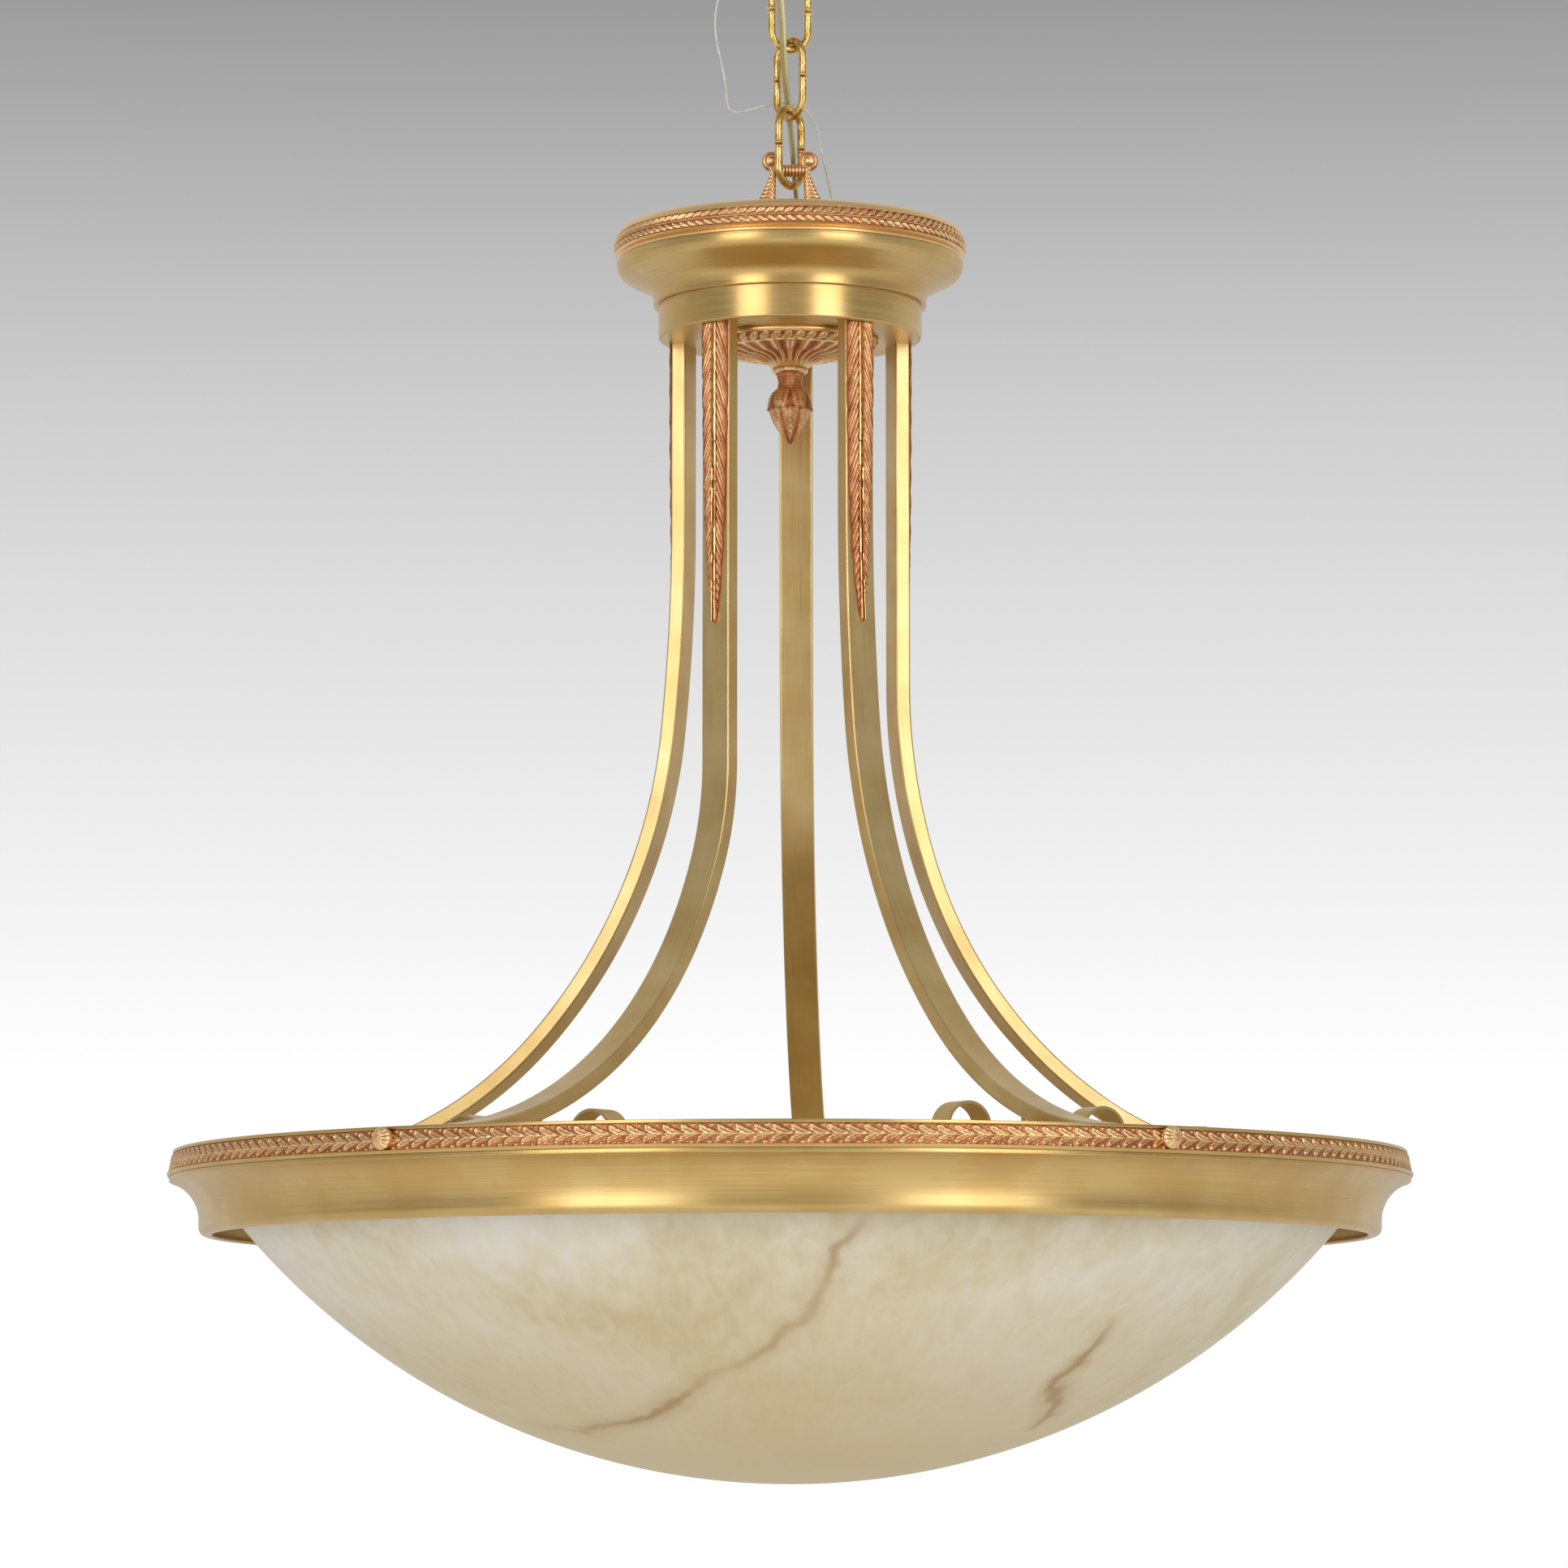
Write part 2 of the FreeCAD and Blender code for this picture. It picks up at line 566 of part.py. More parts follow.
def rosette():
    """Cast flaring cup under the crown."""
    r, d = ROSETTE_R, ROSETTE_DEPTH
    cup = lathe(CROWN_Z, [
        (r - 3, 0), (r, 0), (r + 0.8, -1.6), (r, -3.2), ((r - 3.2, -0.34 * d), (r - 8, -0.42 * d)),
        (0.57 * r, -0.62 * d), ((19, -0.76 * d), (12, -d)),
        (TUBE_R + 0.3, -d), (TUBE_R + 0.3, -0.84 * d), (13, -0.72 * d), (0.57 * r, -0.5 * d),
        (r - 9, -0.28 * d), (r - 3, -2),
    ])
    return cup


def finial_neck():
    """Turned bead and neck between rosette and acorn."""
    d, b = ROSETTE_DEPTH, TUBE_R + 0.3
    return lathe(CROWN_Z, [
        (b, -d), (11, -d), ((12, -d - 1.6), (11, -d - 3.2)), (9.6, -d - 3.8),
        ((NECK_R - 0.5, -d - 8.5), (NECK_R, -NECK_END)), (b, -NECK_END),
    ])


def acorn():
    """Cast acorn that screws onto the end of the tube."""
    n, tip, r = NECK_END, ACORN_TIP, ACORN_R
    body = lathe(CROWN_Z, [
        (0, -n), (NECK_R, -n), ((r - 1.4, -n - 6), (r - 0.2, -n - 12.5)), (r + 0.6, -n - 14.6),
        (r - 1, -n - 15.6), ((r - 4.2, -n - 24), (4.4, -tip + 4)), (0.8, -tip), (0, -tip),
    ])
    return body.cut(disc(TUBE_R + 0.05, CROWN_Z - n - 9.4, CROWN_Z - n + 1))


# Arms ------------------------------------------------------------------------------------------------

def arm_plate(near, far, width, k=0):
    """A plate that follows an arm's centre line from the crown towards the rim, along +X."""
    steps = [ARM_STRAIGHTS[k]] + list(ARM_BENDS[k]) + [RIM_R]
    return across(strip((ARM_TOP_R, CROWN_Z), -90, steps, near, far), width)


def inside_rim(shape, reach):
    """The part of an arm's piece that lies within a distance from the axis, along +X."""
    size = 2 * RIM_R
    return shape.common(block((0, reach), (-size, size), (RIM_Z - size, CROWN_Z)))


def arm(k):
    half = ARM_DEPTH / 2
    bore = arm_plate(ARM_WALL - half, half - ARM_WALL, ARM_WIDTH - 2 * ARM_WALL, k)
    return inside_rim(arm_plate(-half, half, ARM_WIDTH, k).cut(bore), ARM_END_R)


def arm_plugs():
    """A threaded block in each end of each arm, for the crown's screw and the rim's stud."""
    half = ARM_DEPTH / 2 - ARM_WALL - PLUG_FIT
    side = ARM_WIDTH
    bore = Part.makeCylinder(STUD_R + 0.05, 2 * PLUG_LENGTH, V(ARM_END_R - PLUG_LENGTH, 0, ARM_END_Z),
                             V(1, 0, 0))
    blocks = []
    for k, azimuth in enumerate(ARM_AZIMUTHS):
        core = arm_plate(-half, half, ARM_WIDTH - 2 * ARM_WALL - 2 * PLUG_FIT, k)
        top = core.common(block((0, 2 * ARM_TOP_R), (-side, side), (CROWN_Z - PLUG_LENGTH, CROWN_Z)))
        top = top.cut(disc(ARM_SCREW_R, CROWN_Z - PLUG_LENGTH - 1, CROWN_Z + 1, ARM_TOP_R))
        end = core.common(block((ARM_END_R - PLUG_LENGTH, ARM_END_R), (-side, side), (RIM_Z - 60, CROWN_Z)))
        blocks += [around(top, azimuth), around(end.cut(bore), azimuth)]
    return Part.makeCompound(blocks)


def leaf(k):
    """Cast acanthus leaf on the arm's outer face, lobed at its edges and drawn to a point."""
    top, low = CROWN_Z - 0.3, CROWN_Z - LEAF_LENGTH
    pitch = (top - low - 14) / LEAF_LOBES
    edges = []
    for side in (-1, 1):
        last = (0, side * LEAF_WIDTH * 0.45, top)
        edges.append(line((0, 0, top), last))
        for lobe in range(1, LEAF_LOBES + 1):
            width = LEAF_WIDTH / 2 * (1 - lobe / (LEAF_LOBES + 1)) ** 0.72
            z = top - pitch * lobe
            end = (0, side * width * 0.86, z)
            edges.append(arc(last, (0, side * (width + 0.8), z + 0.42 * pitch), end))
            last = end
        edges.append(line(last, (0, 0, low)))
    outline = Part.Face(Part.Wire(Part.sortEdges(edges)[0])).extrude(V(3 * ARM_TOP_R, 0, 0))
    half = ARM_DEPTH / 2
    return outline.common(arm_plate(half + LEAF_GAP, half + LEAF_T, LEAF_WIDTH + 9, k))


# Rim -------------------------------------------------------------------------------------------------

def stud_holes(shape):
    for azimuth in ARM_AZIMUTHS:
        shape = shape.cut(around(Part.makeCylinder(STUD_HOLE_R, 40, V(RIM_INNER_R - 10, 0, ARM_END_Z),
                                                   V(1, 0, 0)), azimuth))
    return shape


def rim_top_ring():
    """Upper ring of the rim: a lip, a recess for the cast band, a fillet and a flange inside."""
    r, i, h, f = RIM_R, RIM_RECESS_R, RIM_TOP_H, RIM_BAND_FLARE
    ring = lathe(RIM_Z, [
        (RIM_INNER_R, 0), (r, 0), (r, -RIM_LIP), (i, -RIM_LIP), (i + f, -RIM_BAND_BOTTOM),
        (RIM_FILLET_R, -RIM_BAND_BOTTOM), (RIM_FILLET_R - 0.8, -h), (RIM_FLANGE_R, -h),
        (RIM_FLANGE_R, -h + 2), (RIM_INNER_R, -h + 2),
    ])
    for screw in seat_screw_places():
        ring = ring.cut(disc(SEAT_SCREW_R + 0.1, RIM_Z - h - 1, RIM_Z - h + 3, *screw))
    return stud_holes(ring)


def rim_ornament_band():
    """Cast laurel strip wrapped round the recess."""
    i, f, gap = RIM_RECESS_R + RIM_BAND_FIT, RIM_BAND_FLARE, RIM_BAND_FIT
    top, low = -RIM_LIP - gap, -RIM_BAND_BOTTOM + gap
    return stud_holes(lathe(RIM_Z, [(i, top), (i + RIM_BAND_T, top), (i + RIM_BAND_T + f, low), (i + f, low)]))


def rim_skirt():
    """Spun cavetto below the band, with its lower edge rolled inwards."""
    r, w, t, h = SKIRT_TOP_R, SKIRT_WAIST_R, SKIRT_SHEET, SKIRT_H
    a, b, waist = RIM_TOP_H, RIM_TOP_H + 2.7, SKIRT_WAIST
    shell = lathe(RIM_Z, [
        (r, -a), (r, -b), ((0.33 * r + 0.67 * w - 1.5, -0.58 * b - 0.42 * waist), (w, -waist)),
        (w, -h + 4.8), ((w - 1.4, -h + 1.4), (w - 4.8, -h)), (SKIRT_LIP_R, -h), (SKIRT_LIP_R, -h + t),
        (w - 4.8, -h + t), ((w - t - 0.8, -h + t + 0.8), (w - t, -h + 4.8)), (w - t, -waist),
        ((0.33 * r + 0.67 * w - 1.5 - 1.45, -0.58 * b - 0.42 * waist + 1.45), (r - 3, -b + t - 0.1)),
        (RIM_FLANGE_R, -b + t - 0.1), (RIM_FLANGE_R, -a),
    ])
    for screw in seat_screw_places():
        shell = shell.cut(disc(SEAT_SCREW_R + 0.1, RIM_Z - b - 3, RIM_Z - a + 3, *screw))
    return shell


def seat_screw_places():
    """(x, y) of the screws that hold the seat ring, halfway between arms first."""
    step = 360 / SEAT_SCREWS
    angles = [math.radians(ARM_AZIMUTHS[0] + step * (k + 0.5) - 90) for k in range(SEAT_SCREWS)]
    return [(SEAT_SCREW_RING_R * math.cos(a), SEAT_SCREW_RING_R * math.sin(a)) for a in angles]


SEAT_FLANGE = RIM_TOP_H + 2.7 - SKIRT_SHEET + 0.1


def bowl_seat_ring():
    """Ring inside the rim: a flange screwed up under it, a collar, and the ledge that carries the bowl."""
    t, c, s = SEAT_SHEET, SEAT_COLLAR_R, SEAT_FLANGE
    ring = lathe(RIM_Z, [
        (SEAT_INNER_R, -SEAT_TOP), (c - t, -SEAT_TOP), (c - t, -s), (SEAT_SCREW_RING_R + 4, -s),
        (SEAT_SCREW_RING_R + 4, -s - t), (c, -s - t), (c, -SEAT_TOP - t), (SEAT_INNER_R, -SEAT_TOP - t),
    ])
    for screw in seat_screw_places():
        ring = ring.cut(disc(SEAT_SCREW_R + 0.1, RIM_Z - s - t - 1, RIM_Z, *screw))
    return ring


def seat_screws():
    head_top = RIM_Z - SEAT_FLANGE - SEAT_SHEET
    screws = []
    for x, y in seat_screw_places():
        shank = disc(SEAT_SCREW_R, head_top, RIM_Z - RIM_TOP_H + 2.5, x, y)
        screws.append(shank.fuse(disc(3.2, head_top - 2.2, head_top, x, y)).removeSplitter())
    return Part.makeCompound(screws)


def rim_studs():
    """Threaded studs from the arms' plugs out into the knobs."""
    start = ARM_END_R - PLUG_LENGTH / 2
    end = RIM_RECESS_R + RIM_BAND_T + RIM_BAND_FLARE + 4
    return at_arms(Part.makeCylinder(STUD_R, end - start, V(start, 0, ARM_END_Z), V(1, 0, 0)))


def rim_knobs():
    """Round fluted buttons that clamp the rim to the arms."""
    seat = RIM_RECESS_R + RIM_BAND_T + RIM_BAND_FLARE + 0.3
    dome = Part.makeSphere(KNOB_R * 1.15, V(seat + KNOB_T - KNOB_R * 1.15, 0, ARM_END_Z))
    knob = Part.makeCylinder(KNOB_R, KNOB_T, V(seat, 0, ARM_END_Z), V(1, 0, 0)).common(dome)
    bore = Part.makeCylinder(STUD_R + 0.05, 5.2, V(seat - 1, 0, ARM_END_Z), V(1, 0, 0))
    return at_arms(knob.cut(bore))


# Bowl ------------------------------------------------------------------------------------------------

def bowl():
    """Alabaster bowl: a spherical cap with a flat flange that rests on the seat ring."""
    outer, inner, c = BOWL_RADIUS, BOWL_RADIUS - BOWL_WALL, BOWL_CENTRE - RIM_Z
    low, high = -BOWL_SEAT, -BOWL_FLANGE_TOP

    def edge(radius, height):
        return (math.sqrt(radius ** 2 - (c - height) ** 2), height)

    half = math.radians(26)
    return lathe(RIM_Z, [
        (0, c - outer), ((outer * math.sin(half), c - outer * math.cos(half)), edge(outer, low)),
        (BOWL_FLANGE_R, low), (BOWL_FLANGE_R, high), edge(inner, high),
        ((inner * math.sin(half), c - inner * math.cos(half)), (0, c - inner)),
    ])


def bowl_gasket():
    return tube(BOWL_FLANGE_R - 0.4, SEAT_INNER_R + 0.7, RIM_Z - SEAT_TOP, RIM_Z - BOWL_SEAT)


# Lamps -----------------------------------------------------------------------------------------------

def at_straps(shape):
    """Copies of a piece at all arms, each as far down as that arm's lamp strap hangs."""
    return Part.makeCompound([around(shape.translated(V(0, 0, -drop)), azimuth)
                              for azimuth, drop in zip(ARM_AZIMUTHS, STRAP_DROPS)])


def lamp_posts():
    """Posts that hang a strap below each arm, cut to the arm's underside, threaded below."""
    tail = disc(POST_SCREW_R, STRAP_Z - STRAP_T / 2 - NUT_T - 2, STRAP_Z + STRAP_T / 2, LAMP_RING_R)
    half = ARM_DEPTH / 2
    posts = []
    for k, (azimuth, drop) in enumerate(zip(ARM_AZIMUTHS, STRAP_DROPS)):
        tall = disc(POST_R, STRAP_Z - drop + STRAP_T / 2, CROWN_Z, LAMP_RING_R)
        post = tall.cut(arm_plate(-half - PLUG_FIT, half, ARM_WIDTH, k))
        post = min(post.Solids, key=lambda solid: solid.CenterOfMass.z)
        screw = tail.translated(V(0, 0, -drop))
        posts.append(around(post.fuse(screw).removeSplitter(), azimuth))
    return Part.makeCompound(posts)


def lamp_post_nuts():
    top = STRAP_Z - STRAP_T / 2
    nut = hexagon(9, top - NUT_T, top, LAMP_RING_R)
    return at_straps(nut.cut(disc(POST_SCREW_R + 0.05, top - 9, top + 1, LAMP_RING_R)))


def lamp_brackets():
    """A strap across each arm that humps up in an arch at both ends and carries a lampholder there."""
    inner = LAMP_SPREAD - 1 - ARCH_R
    steps = [inner - 6, (6, 90), 0.9, (ARCH_R, -180), 6.9, (5, -90), ARCH_R + 1]
    half = strip((0, STRAP_Z), 0, steps, -STRAP_T / 2, STRAP_T / 2)
    plate = across(half, STRAP_WIDTH)
    strap = plate.fuse(plate.mirror(V(0, 0, 0), V(1, 0, 0))).removeSplitter()
    strap.rotate(V(0, 0, 0), UP, 90)
    strap.translate(V(LAMP_RING_R, 0, 0))
    strap = strap.cut(disc(POST_SCREW_R + 0.1, STRAP_Z - 3, STRAP_Z + 3, LAMP_RING_R))
    for side in (-1, 1):
        strap = strap.cut(disc(HOLDER_STUD_R + 0.1, HOLDER_TOP - 3, HOLDER_TOP + 3, LAMP_RING_R,
                               side * LAMP_SPREAD))
    return at_straps(strap)


def at_lamps(piece):
    """Copies of a piece, made on the Z axis, at all lamps."""
    pair = [piece.translated(V(LAMP_RING_R, side * LAMP_SPREAD, 0)) for side in (-1, 1)]
    return Part.makeCompound([at_straps(copy) for copy in pair])


def lampholder_shells():
    """Cup that covers each lampholder, hung on the strap's foot."""
    top, low = HOLDER_TOP, HOLDER_TOP - HOLDER_LENGTH
    cup = disc(HOLDER_R, low, top).cut(disc(HOLDER_R - 1, low - 1, top - 1.2))
    return at_lamps(cup.cut(disc(HOLDER_STUD_R + 0.1, low, top + 1)))


def lampholder_inserts():
    """Insulating insert with the lamp's thread inside, and the stud that fixes it to the strap."""
    top, low = HOLDER_TOP - 1.2, HOLDER_TOP - HOLDER_LENGTH + 0.5
    insert = disc(HOLDER_R - 1.2, low, top).cut(disc(SOCKET_R, low - 1, top - 5))
    return at_lamps(insert.fuse(disc(HOLDER_STUD_R, top, HOLDER_TOP + STRAP_T + 1.5)).removeSplitter())


def bulb_bases():
    top, low = HOLDER_TOP - 6.5, HOLDER_TOP - HOLDER_LENGTH - 0.6
    return at_lamps(disc(BULB_BASE_R, low, top))


def bulb_globes():
    """Small round-ended lamps, cap down in the photograph's bowl."""
    top = HOLDER_TOP - HOLDER_LENGTH - 0.6
    globe = lathe(top, [
        (0, 0), (BULB_BASE_R, 0), ((BULB_R - 3.6, -13), (BULB_R, -30)),
        ((BULB_R - 4.2, -50), (3, -BULB_LENGTH + 1.4)), (1, -BULB_LENGTH), (0, -BULB_LENGTH),
    ])
    return at_lamps(globe)


# Cords -----------------------------------------------------------------------------------------------

def bends(route):
    """For each inner point of a route, the radius of its arc and the length that the arc takes up."""
    found = [(0.0, 0.0)]
    for a, b, c in zip(route, route[1:], route[2:]):
        before, after = V(*b) - V(*a), V(*c) - V(*b)
        take = 0.45 * min(before.Length, after.Length)
        found.append((take / math.tan(before.getAngle(after) / 2), take))
    return found + [(0.0, 0.0)]


def cord_span(route, first, last, diameter):
    """The tube from the middle of one run to the middle of a later one: straight runs and tangent arcs."""
    take = [t for _, t in bends(route)]
    points = [V(*p) for p in route]
    start = points[first] if first == 0 else (points[first] + points[first + 1]) / 2
    end = points[last] if last == len(route) - 1 else (points[last] + points[last + 1]) / 2
    inner = range(first + 1, last + 1 if last < len(route) - 1 else last)
    edges = []
    here = start
    for k in inner:
        back = (points[k - 1] - points[k]).normalize()
        on = (points[k + 1] - points[k]).normalize()
        a, b = points[k] + back * take[k], points[k] + on * take[k]
        middle = (back + on).normalize()
        half = math.pi / 2 - back.getAngle(on) / 2
        radius = take[k] / math.tan(half)
        m = points[k] + middle * (radius / math.cos(half) - radius)
        edges.append(Part.makeLine(here, a))
        edges.append(Part.Arc(a, m, b).toShape())
        here = b
    edges.append(Part.makeLine(here, end))
    path = Part.Wire(edges)
    section = Part.Wire(Part.makeCircle(diameter / 2, start, edges[0].tangentAt(edges[0].FirstParameter)))
    solid = path.makePipeShell([section], True, False)
    should = math.pi * diameter ** 2 / 4 * path.Length
    print(f"span {first}-{last}: length {path.Length:.1f}, volume {solid.Volume / should:.4f} of section x length")
    return solid


def cord_spans(name, route, cuts, diameter):
    """One node per stretch, each across one joint of the chain."""
    radii = [r for r, _ in bends(route)[1:-1]]
    print(name, "radii", " ".join(f"{r:.0f}" for r in radii))
    limits = (0,) + cuts + (len(route) - 1,)
    return {f"{name}_{k + 1}": cord_span(route, a, b, diameter)
            for k, (a, b) in enumerate(zip(limits, limits[1:]))}


def nodes():
    made = {
        "ceiling_canopy": canopy(), "canopy_crossbar": canopy_crossbar(), "canopy_nipple": canopy_nipple(),
        "canopy_nuts": canopy_nuts(), "loop_collar": loop_collar(), "canopy_loop": canopy_loop(),
    }
    for k, (name, turn) in enumerate(LINK_TURNS.items()):
        made[name] = chain_link(LINK_TOP - k * LINK_PITCH, turn)
    for piece in (yoke, crown_top_plate, crown_ornament_ring, crown_cavetto, crown_band, crown_base_plate,
                  crown_tube, crown_nuts, cord_bushing, ground_screw, terminal_block, arm_top_screws,
                  rosette, finial_neck, acorn, arm_plugs, rim_top_ring, rim_ornament_band, rim_skirt,
                  bowl_seat_ring, seat_screws, rim_studs, rim_knobs, bowl, bowl_gasket, lamp_posts,
                  lamp_post_nuts, lamp_brackets, lampholder_shells, lampholder_inserts, bulb_bases,
                  bulb_globes):
        made[piece.__name__] = piece()
    for k, azimuth in enumerate(ARM_AZIMUTHS):
        made[f"arm_{k + 1}"] = around(arm(k), azimuth)
        made[f"arm_leaf_{k + 1}"] = around(leaf(k), azimuth)
    made.update(cord_spans("supply_cord", SUPPLY_ROUTE, SUPPLY_CUTS, SUPPLY_CORD))
    made.update(cord_spans("earth_wire", EARTH_ROUTE, EARTH_CUTS, EARTH_WIRE))
    return made


os.makedirs("parts", exist_ok=True)
for node, shape in nodes().items():
    if not shape.isValid():
        print("not valid:", node)
    shape.exportStep(f"parts/{node}.step")
print(f"rim {RIM_Z:.2f}, crown {CROWN_Z:.2f}, bar {YOKE_BAR_Z:.2f}, arm end {ARM_END_Z:.2f}")
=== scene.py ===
import math

import bmesh
import bpy
import numpy as np
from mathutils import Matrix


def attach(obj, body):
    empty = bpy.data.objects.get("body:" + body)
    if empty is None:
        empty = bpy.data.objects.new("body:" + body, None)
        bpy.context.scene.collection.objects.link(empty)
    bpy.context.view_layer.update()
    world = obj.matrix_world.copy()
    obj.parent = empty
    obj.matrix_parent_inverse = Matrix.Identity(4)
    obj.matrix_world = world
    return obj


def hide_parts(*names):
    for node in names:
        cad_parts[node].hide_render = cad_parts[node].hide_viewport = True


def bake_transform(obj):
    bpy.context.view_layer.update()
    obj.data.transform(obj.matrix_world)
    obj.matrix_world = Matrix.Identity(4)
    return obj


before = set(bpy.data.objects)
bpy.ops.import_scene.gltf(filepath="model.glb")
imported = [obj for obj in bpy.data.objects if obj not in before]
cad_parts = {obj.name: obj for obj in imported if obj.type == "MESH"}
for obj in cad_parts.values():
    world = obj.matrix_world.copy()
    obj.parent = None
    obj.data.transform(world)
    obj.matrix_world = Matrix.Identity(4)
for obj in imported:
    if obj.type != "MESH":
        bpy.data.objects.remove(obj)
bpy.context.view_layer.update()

# Camera: the photograph's own place, four metres in front of the pendant and below its rim. A long
# lens looks up a little, so that the bowl's underside and the crown's underside both show.
camera = bpy.data.objects.new("camera", bpy.data.cameras.new("camera"))
bpy.context.scene.collection.objects.link(camera)
bpy.context.scene.camera = camera
camera.data.sensor_width = 36.0
CAMERA_LENS_MM, CAMERA_PLACE, CAMERA_RISE = 149.0, (-0.004, -4.251, -1.0836), 6.27
camera.data.lens = CAMERA_LENS_MM
camera.location = CAMERA_PLACE
camera.rotation_euler = (math.radians(90 + CAMERA_RISE), 0, 0)


# Supply cord: a flat twin of clear gold PVC over two bunched copper conductors, extruded in one pass.
# It comes out of the ceiling loop, winds through the links and ends in a bush in the crown's top.
SUPPLY_ROUTE = (
    (0, 0, -0.048), (-0.0007, -0.0009, -0.057), (-0.0054, -0.0076, -0.0675), (-0.0068, -0.0092, -0.085),
    (-0.0049, -0.008, -0.104), (-0.0045, -0.007, -0.121), (-0.0036, -0.0014, -0.139),
    (-0.0018, 0.0064, -0.154), (-0.0003, 0.0102, -0.168), (0.0014, 0.012, -0.184),
    (0.0026, 0.0142, -0.202), (0.0043, 0.017, -0.22), (0.0042, 0.0181, -0.237), (0.004, 0.018, -0.251),
)
SUPPLY_CUTS = (3, 6, 9)


def linear(colour):
    """An sRGB hex colour as linear red, green, blue and alpha: below 0.04045 a twelfth, else a power."""
    parts = [int(colour[k:k + 2], 16) / 255 for k in (0, 2, 4)]
    return [p / 12.92 if p <= 0.04045 else ((p + 0.055) / 1.055) ** 2.4 for p in parts] + [1.0]


def add(tree, kind, values=None, links=None, **settings):
    """A node with its settings, the values of its sockets and the sockets that feed it."""
    node = tree.nodes.new(kind)
    for name, value in settings.items():
        setattr(node, name, value)
    for name, value in (values or {}).items():
        node.inputs[name].default_value = value
    for name, source in (links or {}).items():
        tree.links.new(source, node.inputs[name])
    return node


def shades(ramp, *stops):
    """The stops of a colour ramp, each a place from 0 to 1 and an sRGB colour."""
    elements = ramp.color_ramp.elements
    while len(elements) < len(stops):
        elements.new(0.5)
    for element, (place, colour) in zip(elements, stops):
        element.position = place
        element.color = linear(colour)


def finish_of(name, values):
    """A material with one Principled shader. The shader's sockets take the values given."""
    material = bpy.data.materials.new(name)
    material.use_nodes = True
    shader = material.node_tree.nodes["Principled BSDF"]
    for socket, value in values.items():
        shader.inputs[socket].default_value = value
    return material, material.node_tree, shader


def skin(name, grid, body, slot, material, replaced=(), wrap=(True, True), poles=False, hard=32,
         **values):
    """A mesh over a grid of points in millimetres, riding on a body.

    Neighbours in the grid share a face, and wrap closes it either way. The UV map is the distance in
    millimetres along both ways of the grid, and each extra array becomes a value of the points. Points
    that fall together at a pole are made one, and the faces are turned so that the volume is positive.
    """
    n, m = grid.shape[:2]
    index = np.arange(n * m).reshape(n, m)
    i, j = np.meshgrid(np.arange(n if wrap[0] else n - 1), np.arange(m if wrap[1] else m - 1),
                       indexing="ij")
    i2, j2 = (i + 1) % n, (j + 1) % m
    quads = np.stack([index[i, j], index[i2, j], index[i2, j2], index[i, j2]], -1).reshape(-1, 4)
    along = np.concatenate([[0], np.cumsum(np.linalg.norm(np.roll(grid, -1, 0) - grid, axis=2).max(1))])
    across = np.concatenate([[0], np.cumsum(np.linalg.norm(np.roll(grid, -1, 1) - grid, axis=2).max(0))])
    corners = ((i, j), (i + 1, j), (i + 1, j + 1), (i, j + 1))
    uv = np.stack([np.stack([along[a], across[b]], -1) for a, b in corners], 2).reshape(-1, 4, 2)
    points = grid.reshape(-1, 3) / 1000
    a, b, c, d = (points[quads[:, k]] for k in range(4))
    if (a * (np.cross(b, c) + np.cross(c, d))).sum() < 0:
        quads, uv = quads[:, ::-1], uv[:, ::-1]
    mesh = bpy.data.meshes.new(name)
    mesh.vertices.add(n * m)
    mesh.vertices.foreach_set("co", points.ravel())
    mesh.loops.add(quads.size)
    mesh.loops.foreach_set("vertex_index", quads.ravel().astype(np.int32))
    mesh.polygons.add(len(quads))
    mesh.polygons.foreach_set("loop_start", np.arange(0, quads.size, 4, dtype=np.int32))
    mesh.update(calc_edges=True)
    mesh.uv_layers.new(name="UVMap").data.foreach_set("uv", uv.ravel())
    for key, value in values.items():
        kind, field = ("FLOAT_VECTOR", "vector") if value.ndim == 3 else ("FLOAT", "value")
        value = np.broadcast_to(value, (n, m) + value.shape[2:])
        mesh.attributes.new(key, kind, "POINT").data.foreach_set(field, value.ravel().astype(np.float32))
    if poles:
        work = bmesh.new()
        work.from_mesh(mesh)
        bmesh.ops.remove_doubles(work, verts=work.verts, dist=1e-6)
        work.to_mesh(mesh)
        work.free()
    mesh.shade_smooth()
    mesh.set_sharp_from_angle(angle=math.radians(hard))
    piece = bpy.data.objects.new(name, mesh)
    bpy.context.scene.collection.objects.link(piece)
    mesh.materials.append(material)
    if body:
        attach(piece, body)
    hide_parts(*replaced)
    return piece


def carried(path, aside, section):
    """A section carried along a path: each point is the path's, plus its two offsets along the frame.

    The frame's first side is the part of aside square to the path, its second is square to both.
    """
    ahead = np.gradient(path, axis=0)
    ahead /= np.linalg.norm(ahead, axis=1, keepdims=True)
    first = aside - (aside * ahead).sum(1, keepdims=True) * ahead
    first /= np.linalg.norm(first, axis=1, keepdims=True)
    second = np.cross(ahead, first)
    return path[:, None] + section[..., :1] * first[:, None] + section[..., 1:] * second[:, None]


def shut(grid):
    """A tube's grid with both ends drawn together to their middles, which closes it."""
    return np.concatenate([grid[:1].mean(1, keepdims=True).repeat(grid.shape[1], 1), grid,
                           grid[-1:].mean(1, keepdims=True).repeat(grid.shape[1], 1)])


